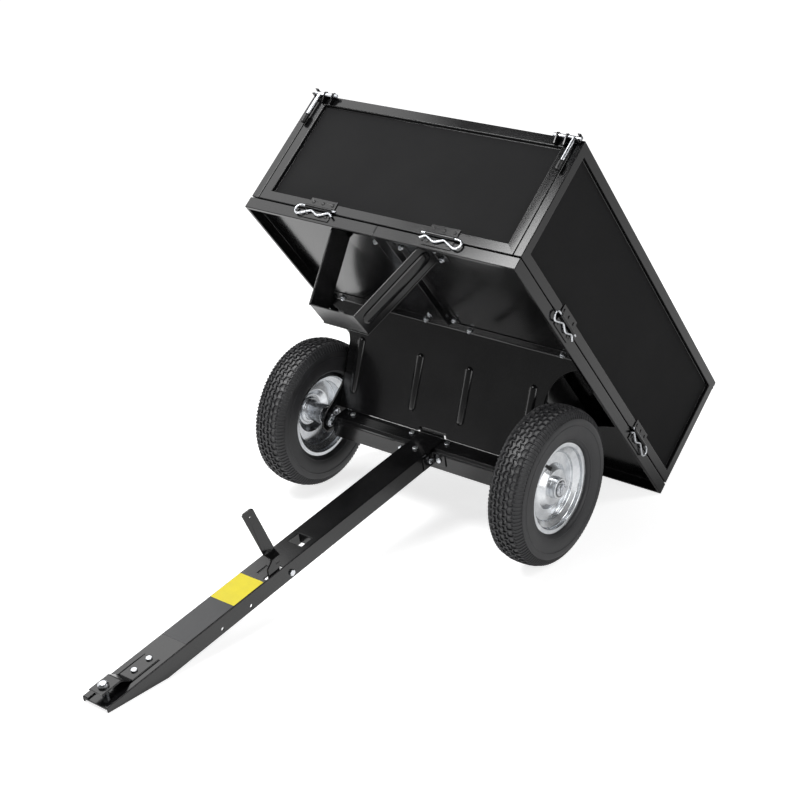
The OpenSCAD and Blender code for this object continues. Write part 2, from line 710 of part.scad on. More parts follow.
module lever_pivot() {
    grip = tongue_t + 1 + lever_t + 0.5;
    color(zinc) on_tongue() at_lever_pivot() rotate([0, 90, 0]) {
        cylinder(r = lever_pin_d * 0.85, h = 5, $fn = 6);
        translate([0, 0, -grip - 8]) cylinder(d = lever_pin_d, h = grip + 8 + eps);
        translate([0, 0, -grip - 7]) cylinder(r = lever_pin_d * 0.85, h = 7, $fn = 6);
    }
}

// Return spring between the window's flap and the lever's peg: straight ends and an open coil
function coil_point(i) =
    let (a = 360 * i / spring_steps, r = (spring_d - spring_wire) / 2)
    spring_a + [r * sin(a), -spring_d - spring_pitch * i / spring_steps, r * cos(a)];
spring_path = concat(
    [spring_a, spring_a - [0, spring_d * 0.6, 0]],
    [for (i = [0 : spring_turns * spring_steps]) coil_point(i)],
    [spring_b + [0, spring_d * 0.6, 0], spring_b]
);
module lever_spring() color(zinc) on_tongue() tube(spring_path, spring_wire / 2, [0.31, 0.93, 0.19]);

// Bed floor: two pans that meet along the middle, with folded sills
module saddle_bolts() for (u = saddle_bolt_u, s = [-1, 1])
    translate([u, axle_v + s * saddle_bolt_v, sill_h]) children();
module hoop_bolts() for (s = [-1, 1], v = hoop_bolt_v) translate([s * hoop_bolt_u, v, sill_h]) children();
module strap_bolts() for (s = [-1, 1], v = strap_bolt_v) translate([s * strap_bolt_u, v, sill_h]) children();
module floor_bolts() {
    saddle_bolts() children();
    hoop_bolts() children();
    strap_bolts() children();
}
module at_sill_hinges() {
    at_front() at_hinges(end_hinges) children();
    at_rear() at_hinges(end_hinges) children();
    at_right() at_hinges(side_hinges(1)) children();
    at_left() at_hinges(side_hinges(-1)) children();
}
module sill_rivet_places() at_sill_hinges() for (x = rivet_x) translate([x, 0, -rivet_z]) children();
module rivet_hole() rotate([90, 0, 0]) cylinder(r = rivet_r + rivet_room, h = 20, center = true);
module floor_pan(side) color(steel_black) on_bed() difference() {
    mirrored(side) difference() {
        cube([bed_w / 2, bed_l, sill_h]);
        block([-eps, bed_w / 2 - sheet], [sheet, bed_l - sheet], [sheet, floor_under]);
        block([-eps, bed_w / 2 - sill_return], [sill_return, bed_l - sill_return], [-eps, sheet + eps]);
    }
    floor_bolts() bolt_hole(10);
    sill_rivet_places() rivet_hole();
}
module seam_strap() color(steel_black) on_bed() difference() {
    translate([0, (strap_start + strap_end) / 2, 0]) along_y(strap_end - strap_start) polygon(strip([
        [-strap_w / 2 - strap_rim, floor_under - sheet], [-strap_w / 2, floor_under - sheet],
        [-strap_w / 2 + 6, floor_under - strap_depth], [strap_w / 2 - 6, floor_under - strap_depth],
        [strap_w / 2, floor_under - sheet], [strap_w / 2 + strap_rim, floor_under - sheet]
    ], sheet));
    strap_bolts() bolt_hole(10);
}
module bed_bolts() color(zinc) on_bed() {
    saddle_bolts() fastener(sheet + saddle_t);
    hoop_bolts() fastener(sheet + hoop_t);
    strap_bolts() fastener(2 * sheet);
}

// Saddle: two leaning bulkheads folded together above the axle
module stadium(w, l) {
    translate([-w / 2, 0]) square([w, l]);
    for (d = [0, l]) translate([0, d]) circle(d = w);
}
module on_bulkhead() translate([0, saddle_top[0], saddle_top[1]]) rotate([saddle_slope, 0, 0]) children();
module bulkhead() {
    line = [saddle_top - [saddle_flange, 0], saddle_top, saddle_foot, saddle_foot + [0, apex_flange]];
    difference() {
        union() {
            difference() {
                along_x(saddle_w) polygon(strip(line, saddle_t));
                on_bulkhead() for (s = [-1, 1]) mirrored(s)
                    linear_extrude(height = 120, center = true) {
                        translate([arch_x, arch_d]) circle(r = arch_r);
                        translate([end_x, arch_d]) square([bed_w, saddle_len]);
                    }
            }
            on_bulkhead() for (s = [-1, 1], x = rib_x)
                translate([s * x, saddle_len * 0.34, -rib_rise])
                    linear_extrude(height = rib_rise + saddle_t / 2)
                        stadium(rib_w, saddle_len * 0.46);
        }
        translate([0, axle_v, -axle_drop]) rod_x(notch_r, tongue_w + 8);
        saddle_bolts() bolt_hole(10);
    }
}
module saddle_front() color(steel_black) on_bed() bulkhead();
module saddle_rear() color(steel_black) on_bed() translate([0, 2 * axle_v, 0]) mirror([0, 1, 0]) bulkhead();
module at_pivots() for (s = [-1, 1], r = [-1, 1])
    translate([s * end_x, axle_v, r * pivot_bolt_r - axle_drop]) rotate([0, -s * 90, 0]) children();
module end_plate(side) {
    inside = saddle_t / sin(-saddle_slope) + 0.5;
    function flank(h) = (h - apex_h) / (floor_under - saddle_t + axle_drop - apex_h) * saddle_half - inside;
    top = floor_under + axle_drop - saddle_t - 12;
    neck = apex_h + 70;
    lug_w = 32;
    rim = [
        [flank(top), top], [flank(neck), neck], [lug_w + 3, neck - 22], [lug_w, apex_h], [lug_w + 1, -10],
        [lug_w - 6, -30], [lug_w - 18, -42]
    ];
    color(steel_black) on_bed() difference() {
        translate([side * (end_x + end_t / 2), axle_v, -axle_drop]) along_x(end_t)
            polygon(concat(rim, [for (i = [len(rim) - 1 : -1 : 0]) [-rim[i][0], rim[i][1]]]));
        translate([0, axle_v, -axle_drop]) rod_x(bush_r + fit, 2 * bed_w);
        at_pivots() bolt_hole(12);
    }
}
module pivot_flanges() color(zinc) on_bed() difference() {
    translate([0, axle_v, -axle_drop]) for (s = [-1, 1]) {
        translate([s * (end_x - flange_plate_t / 2), 0, -pivot_bolt_r]) along_x(flange_plate_t)
            stadium(pivot_plate_w, 2 * pivot_bolt_r);
        translate([s * (end_x + (end_t - flange_plate_t) / 2), 0, 0]) rod_x(bush_r, end_t + flange_plate_t);
    }
    translate([0, axle_v, -axle_drop]) rod_x(shaft_r + shaft_clear, 2 * bed_w);
    at_pivots() bolt_hole(12);
}
module pivot_bolts() color(zinc) on_bed() at_pivots() translate([0, 0, flange_plate_t]) {
    cylinder(r = nut_r, h = bolt_head_h, $fn = 6);
    translate([0, 0, -flange_plate_t - end_t]) cylinder(r = bolt_r, h = flange_plate_t + end_t + eps);
}

// Latch hoop under the bed's front, with the striker tab that the lever hooks
module hoop() {
    top = floor_under - hoop_t;
    foot = [hoop_foot / 2, -hoop_drop];
    leg = [hoop_spread / 2, top] - foot;
    lean = atan2(leg[1], leg[0]);
    line = [
        [-hoop_spread / 2 - hoop_flange, top], [-hoop_spread / 2, top], [-foot[0], foot[1]], foot,
        [hoop_spread / 2, top], [hoop_spread / 2 + hoop_flange, top]
    ];
    color(steel_black) on_bed() difference() {
        union() {
            translate([0, hoop_front + hoop_w / 2, 0]) along_y(hoop_w) polygon(strip(line, hoop_t));
            block([lever_x - lever_t - 5, lever_x + 5], [hoop_front - striker_l, hoop_front + 2],
                [-hoop_drop, hoop_t - hoop_drop]);
            for (s = [-1, 1]) mirrored(s) translate([foot[0], hoop_front + hoop_w / 2, foot[1]])
                rotate([0, -lean, 0]) rotate([180, 0, 0]) translate([norm(leg) * 0.13, 0, -hoop_t / 2])
                    linear_extrude(height = hoop_t / 2 + 4) rotate(-90) stadium(30, norm(leg) * 0.74);
        }
        hoop_bolts() bolt_hole(10);
    }
}

// Panels: sheet trays with a raised border
module panel(w) translate([0, -panel_inset, panel_w]) difference() {
    slab(w, [-panel_t, 0], [0, panel_h]);
    slab(w - 2 * border, [-recess, eps], [border, panel_h - border]);
    slab(w - 2 * sheet, [-panel_t - eps, -recess - sheet], [sheet, panel_h - sheet]);
    difference() {
        slab(w - 2 * sheet, [-recess - sheet - eps, -sheet], [sheet, panel_h - sheet]);
        slab(w - 2 * (border - sheet), [-panel_t, 0], [border - sheet, panel_h - border + sheet]);
    }
}
module panel_rivet_places(list) at_hinges(list) for (x = rivet_x)
    translate([x, -panel_inset, rivet_z]) children();
module hinged_panel(w, list) color(steel_black) difference() {
    panel(w);
    panel_rivet_places(list) rivet_hole();
}

// Hinge leaves: a riveted plate with tabs up to its own knuckles on the hinge line
module knuckle(x0, l) translate([x0 + l / 2, hinge_out, 0]) rod_x(knuckle_d / 2, l);
module leaf(face, up, spans) difference() {
    union() {
        slab(hinge_l, [face, face + leaf_t],
            up > 0 ? [leaf_root, leaf_root + leaf_h] : [-leaf_root - leaf_h, -leaf_root]);
        for (span = spans) {
            block([span[0], span[1]], [face, face + leaf_t], up > 0 ? [1, leaf_root] : [-leaf_root, -1]);
            knuckle(span[0], span[1] - span[0]);
        }
    }
    translate([0, hinge_out, 0]) rod_x(clip_r + clip_clear, 2 * hinge_l);
    for (x = rivet_x) translate([x, 0, up * rivet_z]) rivet_hole();
}
sill_knuckle = knuckle_l / 2 + knuckle_room;
module sill_leaf() leaf(0, -1, [[-hinge_l / 2, -sill_knuckle], [sill_knuckle, hinge_l / 2]]);
module panel_leaf() leaf(-panel_inset, 1, [[-knuckle_l / 2, knuckle_l / 2]]);
module rivet(face, grip) rotate([-90, 0, 0]) translate([0, 0, face]) {
    cylinder(r = rivet_head_r, h = rivet_head_h / 2);
    translate([0, 0, rivet_head_h / 2]) cylinder(r1 = rivet_head_r, r2 = rivet_r, h = rivet_head_h / 2);
    translate([0, 0, -grip]) cylinder(r = rivet_r, h = grip + eps);
    translate([0, 0, -grip - 1.2]) cylinder(r = rivet_head_r * 0.8, h = 1.2);
}
module panel_leaves(list) color(steel_black) at_hinges(list) panel_leaf();
module panel_rivets(list) color(steel_black) panel_rivet_places(list) rivet(leaf_t, leaf_t + sheet);
module sill_hinge_leaves() color(steel_black) on_bed() at_sill_hinges() sill_leaf();
module sill_hinge_rivets() color(steel_black) on_bed() sill_rivet_places() rivet(leaf_t, leaf_t + sheet);

// R-clip: a straight leg that is the hinge pin, and an eye and a wavy leg of the same wire beside it
module r_clip() {
    leg = hinge_l + 2 * clip_ahead;
    bends = [[clip_eye_r, 205], [0, 18], [10, -50], [0, 12], [12, 50], [0, 12], [8, -55], [0, 10]];
    flat = concat([[leg - clip_d, 0], [leg, 0]], bent_path(bends, [leg, 0], 0));
    translate([-leg / 2, hinge_out, 0]) rotate([clip_tilt, 0, 0]) {
        rotate([0, 90, 0]) cylinder(r = clip_r, h = leg);
        tube([for (q = flat) [q[0], q[1], 0]], clip_r - 0.1, [0, 0, 1]);
    }
}
module hinge_clips() color(zinc) on_bed() at_sill_hinges() r_clip();

// Corner latches on the end panels: lugs, sliding bolts with handles, and open keepers on the side panels
module at_latch(side) mirrored(side) translate([bed_w / 2, latch_out, latch_w]) children();
module latch_lug() difference() {
    along_x(lug_t) {
        circle(r = latch_d / 2 + lug_wall);
        polygon([[-latch_out - panel_inset, -lug_drop], [-latch_out - panel_inset, 0],
            [latch_d / 2 + lug_wall, 0], [0, -lug_drop]]);
    }
    rod_x(latch_d / 2 + latch_clear, 4 * lug_t);
    rotate([-40, 0, 0]) slab(2 * lug_t, [-lug_gap / 2, lug_gap / 2], [0, 2 * latch_d]);
}
module latch_lugs() color(steel_black) for (side = [-1, 1], x = [lug_a_in, lug_b_in])
    at_latch(side) translate([-x, 0, 0]) latch_lug();
module latch(side) color(zinc) at_latch(side) {
    translate([-rod_tip_in - rod_l / 2, 0, 0]) rod_x(latch_d / 2, rod_l);
    translate([-handle_in, 0, -handle_l + 4]) cylinder(d = latch_d, h = handle_l - 4);
}
module grip(side) color(rubber) at_latch(side) translate([-handle_in, 0, -handle_l]) difference() {
    rotate_extrude() polygon([
        [0, 0], [grip_d / 2 - 3, 0], [grip_d / 2 - 0.8, 1], [grip_d / 2, 4], [grip_d / 2, grip_l - 3],
        [grip_d / 2 - 1, grip_l], [0, grip_l]
    ]);
    translate([0, 0, 4]) cylinder(r = latch_d / 2 + fit, h = grip_l);
}
module keeper() {
    gap = keeper_half;
    back = -latch_out - panel_inset;
    end = keeper_prong;
    translate([-keeper_in, 0, 0]) along_x(keeper_t) polygon([
        [back, -gap - keeper_wall], [end, -gap - keeper_wall], [end, -gap], [back + keeper_wall, -gap],
        [back + keeper_wall, gap], [end - 3, gap], [end, gap + 1], [end - 4, gap + keeper_wall],
        [back, gap + keeper_wall]
    ]);
}
module keepers(front_side, rear_side) color(steel_black) on_bed() {
    at_front() at_latch(front_side) keeper();
    at_rear() at_latch(rear_side) keeper();
}

tongue();
hitch_plate();
hitch_pin();
axle_beam();
beam_rear_angle();
tongue_brackets();
tongue_bolts();
axle_shaft();
axle_fittings();
lever();
lever_pivot();
lever_spring();
floor_pan(-1);  // floor_left
floor_pan(1);  // floor_right
seam_strap();
saddle_front();
saddle_rear();
end_plate(-1);  // end_plate_left
end_plate(1);  // end_plate_right
pivot_flanges();
pivot_bolts();
hoop();
bed_bolts();
sill_hinge_leaves();
sill_hinge_rivets();
hinge_clips();
on_bed() at_front() hinged_panel(end_panel_w, end_hinges);  // front_panel
on_bed() at_front() panel_leaves(end_hinges);  // front_hinge_leaves
on_bed() at_front() panel_rivets(end_hinges);  // front_hinge_rivets
on_bed() at_front() latch_lugs();  // front_latch_lugs
on_bed() at_rear() hinged_panel(end_panel_w, end_hinges);  // tailgate
on_bed() at_rear() panel_leaves(end_hinges);  // tailgate_hinge_leaves
on_bed() at_rear() panel_rivets(end_hinges);  // tailgate_hinge_rivets
on_bed() at_rear() latch_lugs();  // tailgate_latch_lugs
on_bed() at_left() hinged_panel(side_panel_w, side_hinges(-1));  // left_panel
on_bed() at_left() panel_leaves(side_hinges(-1));  // left_hinge_leaves
on_bed() at_left() panel_rivets(side_hinges(-1));  // left_hinge_rivets
keepers(1, -1);  // left_keepers
on_bed() at_right() hinged_panel(side_panel_w, side_hinges(1));  // right_panel
on_bed() at_right() panel_leaves(side_hinges(1));  // right_hinge_leaves
on_bed() at_right() panel_rivets(side_hinges(1));  // right_hinge_rivets
keepers(-1, 1);  // right_keepers
on_bed() at_front() latch(1);  // front_left_latch
on_bed() at_front() latch(-1);  // front_right_latch
on_bed() at_rear() latch(-1);  // rear_left_latch
on_bed() at_rear() latch(1);  // rear_right_latch
on_bed() at_front() grip(1);  // front_left_grip
on_bed() at_front() grip(-1);  // front_right_grip
on_bed() at_rear() grip(-1);  // rear_left_grip
on_bed() at_rear() grip(1);  // rear_right_grip
tyre(-1);  // left_tyre
rim(-1);  // left_rim
hub(-1);  // left_hub
bearings(-1);  // left_bearings
valve(-1);  // left_valve
tyre(1);  // right_tyre
rim(1);  // right_rim
hub(1);  // right_hub
bearings(1);  // right_bearings
valve(1);  // right_valve
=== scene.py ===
"""Tipping dump cart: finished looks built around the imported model.

Every piece is in metres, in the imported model's own frame: +Z up, +X to the right wheel, -Y to the hitch.
The classes' sizes are in millimetres where they say nothing else.
"""

import json
import logging
import math
from contextlib import contextmanager
from dataclasses import dataclass, field
from enum import Enum, IntEnum
from typing import Any, Iterable, Iterator, Sequence

import bmesh
import bpy
from mathutils import Matrix, Vector


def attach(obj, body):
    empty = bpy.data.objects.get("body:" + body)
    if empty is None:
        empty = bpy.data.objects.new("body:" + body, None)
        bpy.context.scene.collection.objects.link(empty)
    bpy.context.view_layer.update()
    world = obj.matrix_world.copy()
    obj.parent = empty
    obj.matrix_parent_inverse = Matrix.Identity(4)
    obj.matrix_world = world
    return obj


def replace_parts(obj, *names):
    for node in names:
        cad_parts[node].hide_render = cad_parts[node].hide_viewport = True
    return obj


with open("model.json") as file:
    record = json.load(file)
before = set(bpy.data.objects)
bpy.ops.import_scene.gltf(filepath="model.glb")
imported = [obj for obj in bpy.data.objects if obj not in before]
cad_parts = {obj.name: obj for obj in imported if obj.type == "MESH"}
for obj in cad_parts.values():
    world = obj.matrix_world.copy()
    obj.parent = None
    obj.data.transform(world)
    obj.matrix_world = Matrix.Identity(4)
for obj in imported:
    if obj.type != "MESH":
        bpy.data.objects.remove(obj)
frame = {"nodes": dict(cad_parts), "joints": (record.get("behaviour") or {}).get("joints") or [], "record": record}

LOG = logging.getLogger("dump_cart")
MM = 0.001
Vec2 = tuple[float, float]
Vec3 = tuple[float, float, float]
Piece = bpy.types.Object
Tree = bpy.types.NodeTree
Socket = bpy.types.NodeSocket
ORIGIN: Vec3 = (0.0, 0.0, 0.0)
BODY_OF: dict[str, str] = {
    node: body for body, nodes in frame["record"]["behaviour"]["bodies"].items() for node in nodes
}
SLOT_OF: dict[str, str] = {row["node"]: row["material_slot"] for row in frame["record"]["subparts"]}


def linear(code: str) -> tuple[float, float, float, float]:
    """Turns an sRGB hex colour into linear RGBA.

    Args:
        code: The colour, as "#rrggbb".

    Returns:
        Linear red, green and blue, and an alpha of 1.
    """
    parts = [int(code[i : i + 2], 16) / 255 for i in (1, 3, 5)]
    red, green, blue = (c / 12.92 if c <= 0.04045 else ((c + 0.055) / 1.055) ** 2.4 for c in parts)
    return red, green, blue, 1.0


def per_metre(size_mm: float) -> float:
    """Gives the texture scale whose pattern repeats about every size_mm."""
    return 1000.0 / size_mm


def add_node(
    tree: Tree, kind: str, inputs: dict[Any, Any] | None = None, **settings: Any
) -> bpy.types.Node:
    """Adds a node with its settings, and with values or links on its inputs.

    Args:
        tree: The node tree that takes the node.
        kind: The node's type name, without the ShaderNode prefix.
        inputs: Input name or index to a value, or to an output socket that is linked there.
        **settings: Attributes of the node itself.

    Returns:
        The new node.
    """
    node = tree.nodes.new("ShaderNode" + kind)
    for name, value in settings.items():
        setattr(node, name, value)
    for key, value in (inputs or {}).items():
        if isinstance(value, Socket):
            tree.links.new(value, node.inputs[key])
        else:
            node.inputs[key].default_value = value
    return node


def ramp(node: bpy.types.Node, stops: Sequence[tuple[float, str]]) -> Socket:
    """Sets a colour ramp's stops.

    Args:
        node: The colour ramp node, with its two first stops.
        stops: Position and sRGB hex colour of each stop.

    Returns:
        The ramp's colour output.
    """
    elements = node.color_ramp.elements
    while len(elements) < len(stops):
        elements.new(0.5)
    for element, (place, code) in zip(elements, stops):
        element.position = place
        element.color = linear(code)
    return node.outputs["Color"]


def spread(tree: Tree, value: Socket, span: Vec2, ends: Vec2) -> Socket:
    """Maps a span of a value onto two ends, which it keeps outside the span, and gives the result."""
    inputs = {"Value": value, 1: span[0], 2: span[1], 3: ends[0], 4: ends[1]}
    return add_node(tree, "MapRange", inputs).outputs["Result"]


def compute(tree: Tree, operation: str, *values: Any) -> Socket:
    """Adds a sum or other operation on numbers or output sockets, and gives its result."""
    return add_node(tree, "Math", dict(enumerate(values)), operation=operation).outputs[0]


def seen_by(tree: Tree, *rays: str) -> Socket:
    """Adds a factor that is 1 for the rays named and 0 for others.

    Args:
        tree: The node tree.
        *rays: Names of Light Path outputs.

    Returns:
        The factor.
    """
    path = add_node(tree, "LightPath")
    total = path.outputs[rays[0]]
    for ray in rays[1:]:
        total = compute(tree, "MAXIMUM", total, path.outputs[ray])
    return total


@dataclass(frozen=True)
class Finish:
    """A surface finish, named for its real material.

    Colour runs from dark to light, as sRGB hex, and roughness over the span of rough, across bands of a
    slow mottle. Grain is the size of the fine relief, drawn coarse enough to show. Rings is the pitch of
    turning marks about the axle, or 0, and mark_waves their waves in a metre at a texture scale of 1.
    """

    name: str
    dark: str
    light: str
    metallic: float = 0.0
    rough: Vec2 = (0.3, 0.4)
    mottle: float = 60.0
    grain: float = 1.5
    relief: float = 0.02
    rings: float = 0.0
    specular: float = 0.5
    colour_band: Vec2 = (0.32, 0.7)
    gloss_band: Vec2 = (0.3, 0.7)
    mark: float = 0.03
    mark_waves: float = 20.0

    def material(self) -> bpy.types.Material:
        """Builds the finish's node material, once.

        Returns:
            The material of this finish.
        """
        known = bpy.data.materials.get(self.name)
        if known:
            return known
        made = bpy.data.materials.new(self.name)
        made.use_nodes = True
        tree = made.node_tree
        shader = tree.nodes["Principled BSDF"]
        place = add_node(tree, "TexCoord").outputs["Object"]
        cloud = {"Vector": place, "Scale": per_metre(self.mottle), "Detail": 5.0, "Roughness": 0.6}
        mottle = add_node(tree, "TexNoise", cloud).outputs["Fac"]
        stops = list(zip(self.colour_band, (self.dark, self.light)))
        colour = ramp(add_node(tree, "ValToRGB", {"Fac": mottle}), stops)
        tree.links.new(colour, shader.inputs["Base Color"])
        gloss = spread(tree, mottle, self.gloss_band, self.rough)
        tree.links.new(gloss, shader.inputs["Roughness"])
        shader.inputs["Metallic"].default_value = self.metallic
        shader.inputs["Specular IOR Level"].default_value = self.specular
        tree.links.new(self._relief(tree, place), shader.inputs["Normal"])
        return made

    def _relief(self, tree: Tree, place: Socket) -> Socket:
        """Adds the fine grain, and the turning marks where the finish has them.

        Args:
            tree: The material's node tree.
            place: Object coordinates.

        Returns:
            The bumped normal.
        """
        fine = {"Vector": place, "Scale": per_metre(self.grain), "Detail": 2.0}
        grain = add_node(tree, "TexNoise", fine).outputs["Fac"]
        peel = {"Height": grain, "Distance": self.relief * MM, "Strength": 1.0}
        normal = add_node(tree, "Bump", peel).outputs["Normal"]
        if not self.rings:
            return normal
        axle = next(joint["pos_m"] for joint in frame["joints"] if joint["name"] == "bed_tip")
        shift = {"Vector": place, "Location": (0.0, -axle[1], -axle[2])}
        centred = add_node(tree, "Mapping", shift).outputs["Vector"]
        scale = per_metre(self.rings) / self.mark_waves
        rings = add_node(
            tree,
            "TexWave",
            {"Vector": centred, "Scale": scale, "Distortion": 0.4},
            wave_type="RINGS",
            rings_direction="X",
        ).outputs["Fac"]
        marks = {"Height": rings, "Distance": self.mark * MM, "Strength": 0.6, "Normal": normal}
        return add_node(tree, "Bump", marks).outputs["Normal"]


# Polyester powder coat, sprayed and baked on pressed steel: nearly black, semi-gloss, with faint orange
# peel. The peel is about 0.8 mm on the real sheet and is drawn at 2.2 mm so that it shows.
POWDER_COAT = Finish(
    "black powder coat", "#0b0b0c", "#121213", rough=(0.13, 0.19), mottle=140, grain=2.2, relief=0.006
)
# The same coat on the panels' wide pressed sheets, where it lies thinner and drier: matte.
DRY_COAT = Finish(
    "dry black powder coat", "#0f0f10", "#151516", rough=(0.8, 0.9), mottle=180, grain=2.2, specular=0.25
)
# Bright zinc plate on small steel parts: pale, cool, with a slow cloudiness.
ZINC_PLATE = Finish(
    "bright zinc plate", "#c0c3c8", "#e2e4e7", 1.0, (0.22, 0.34), mottle=9, grain=0.9, relief=0.006
)
# Zinc plate on the spun rim and hub: brighter, with faint turning marks round the axle.
RIM_ZINC = Finish(
    "bright zinc rim", "#c8cbcf", "#eaecee", 1.0, (0.2, 0.28), mottle=30, relief=0.004, rings=2.4
)
# Ground bearing rings and drawn spring wire: darker bare steel.
BEARING_STEEL = Finish(
    "ground bearing steel",
    "#7d7f82",
    "#a3a5a8",
    metallic=1.0,
    rough=(0.22, 0.3),
    mottle=12,
    grain=0.8,
    relief=0.004,
    rings=1.5,
)
SPRING_WIRE = Finish("drawn spring wire", "#6f7174", "#96989b", 1.0, (0.28, 0.38), mottle=6, grain=0.8)
# Moulded tyre rubber: carbon black, matte, with a dusty bloom on its flats.
TYRE_RUBBER = Finish(
    "moulded tyre rubber", "#242426", "#303032", rough=(0.42, 0.56), mottle=35, grain=1.6, relief=0.05
)
# Tyre rubber painted lighter grey for the tops of the tread blocks: a painted highlight where light catches them.
TREAD_TOP_HIGHLIGHT = Finish(
    "tread rubber with painted highlight", "#5a5a5b", "#727273", rough=(0.4, 0.55), mottle=14, grain=1.6, relief=0.04
)
# Smooth moulded rubber on the valve stems, and dipped vinyl with a soft sheen on the latch handles.
VALVE_RUBBER = Finish(
    "moulded valve rubber", "#121212", "#1a1a1b", rough=(0.45, 0.55), mottle=6, grain=0.9
)
DIPPED_VINYL = Finish(
    "dipped black vinyl", "#0e0e0f", "#171718", rough=(0.36, 0.48), mottle=8, grain=1.2
)
# Vinyl film, plain and unprinted: satin, flat in colour with a faint orange peel.
YELLOW_FILM = Finish("plain yellow vinyl film", "#dccc10", "#e4d419", rough=(0.4, 0.48), mottle=25)
CHARCOAL_FILM = Finish("plain charcoal vinyl film", "#1f2023", "#292a2d", rough=(0.28, 0.36), mottle=25)

FINISH_OF_SLOT: dict[str, Finish] = {
    "black_steel": POWDER_COAT,
    "zinc_steel": ZINC_PLATE,
    "bearing_steel": BEARING_STEEL,
    "spring_steel": SPRING_WIRE,
    "tyre_rubber": TYRE_RUBBER,
    "valve_rubber": VALVE_RUBBER,
    "grip_rubber": DIPPED_VINYL,
}


class Way(Enum):
    """Where a point is measured: on the tipped bed or on the tongue."""

    BED = "bed"
    TONGUE = "tongue"


@dataclass(frozen=True)
class Stance:
    """The cart's pose: the tipped bed and the tongue on the ground, both turned about the axle.

    On the bed, the axle lies axle_v behind the front and axle_drop under the sill's bottom.
    """

    tip_deg: float = 49.18155
    slope_deg: float = 10.33552
    axle_y: float = 170.9987
    axle_z: float = 200.0
    axle_v: float = 578.0
    axle_drop: float = 237.0

    def matrix(self, way: Way) -> Matrix:
        """Gives the turn and shift from a sub-frame in millimetres to the model in metres.

        Args:
            way: The bed's frame (across, back, up from the sill), or the tongue's (across, back,
                up from the axle).

        Returns:
            The 4x4 matrix.
        """
        axle = Matrix.Translation((0.0, self.axle_y, self.axle_z))
        if way is Way.BED:
            turn = Matrix.Rotation(math.radians(-self.tip_deg), 4, "X")
            local = Matrix.Translation((0.0, -self.axle_v, self.axle_drop))
        else:
            turn = Matrix.Rotation(math.radians(self.slope_deg), 4, "X")
            local = Matrix.Identity(4)
        return Matrix.Scale(MM, 4) @ axle @ turn @ local


STANCE = Stance()


def select_only(piece: Piece) -> None:
    """Makes one object the only selected and active one."""
    bpy.ops.object.select_all(action="DESELECT")
    piece.select_set(True)
    bpy.context.view_layer.objects.active = piece


@contextmanager
def editing(action: str | None = "SELECT") -> Iterator[None]:
    """Opens the active object's mesh in edit mode for a block of code.

    Args:
        action: What happens to the whole mesh's selection first, or None to keep the selection.
    """
    bpy.ops.object.mode_set(mode="EDIT")
    if action:
        bpy.ops.mesh.select_all(action=action)
    yield
    bpy.ops.object.mode_set(mode="OBJECT")


def settle(piece: Piece, angle_deg: float = 35.0) -> Piece:
    """Shades a piece smooth up to an angle and applies its modifiers in order.

    Args:
        piece: The piece to finish.
        angle_deg: Edges sharper than this stay sharp.

    Returns:
        The same piece.
    """
    select_only(piece)
    bpy.ops.object.shade_smooth_by_angle(angle=math.radians(angle_deg))
    for modifier in list(piece.modifiers):
        bpy.ops.object.modifier_apply(modifier=modifier.name)
    return piece


def dress(piece: Piece, finish: Finish, node: str) -> Piece:
    """Gives a piece its finish and its body, and reports it.

    Args:
        piece: The finished piece.
        finish: The finish it takes.
        node: The node whose body and material slot it takes.

    Returns:
        node: The node whose body it takes.
    """
    piece.data.materials.clear()
    piece.data.materials.append(finish.material())
    body = BODY_OF[node]
    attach(piece, body)
    LOG.info("%s: %s on %s, %d faces", piece.name, finish.name, body, len(piece.data.polygons))
    return piece


def wire(name: str, points: Iterable[Vector], radius: float, sides: int = 12) -> Piece:
    """Makes a round wire along points, as a closed mesh.

    Args:
        name: The piece's name.
        points: Points of the wire's centre line, in metres.
        radius: The wire's radius, in metres.
        sides: Sides of the round section.

    Returns:
        The wire, at the origin.
    """
    path = list(points)
    bpy.ops.object.select_all(action="DESELECT")
    bpy.ops.curve.primitive_nurbs_path_add(location=ORIGIN)
    piece = bpy.context.object
    piece.name = name
    curve = piece.data
    curve.splines.clear()
    spline = curve.splines.new("POLY")
    spline.points.add(len(path) - 1)
    for point, at in zip(spline.points, path):
        point.co = (*at, 1.0)
    curve.dimensions = "3D"
    curve.twist_mode = "MINIMUM"
    curve.bevel_depth = radius
    curve.bevel_resolution = sides // 4
    curve.use_fill_caps = True
    bpy.ops.object.convert(target="MESH")
    return settle(bpy.context.object, angle_deg=50.0)


def merge(pieces: Sequence[Piece], name: str) -> Piece:
    """Joins pieces into one.

    Args:
        pieces: The pieces, each at the origin.
        name: The joined piece's name.

    Returns:
        The joined piece.
    """
    select_only(pieces[0])
    for piece in pieces:
        piece.select_set(True)
    bpy.ops.object.join()
    joined = bpy.context.object
    joined.name = name
    return joined


def direction(edge: bmesh.types.BMEdge) -> Vector:
    """Gives an edge's direction, one unit long."""
    first, last = edge.verts
    return (last.co - first.co).normalized()


def is_sharp(edge: bmesh.types.BMEdge, angle_deg: float = 22.0) -> bool:
    """Says whether two faces meet at an edge at more than an angle."""
    return edge.calc_face_angle(0.0) >= math.radians(angle_deg)


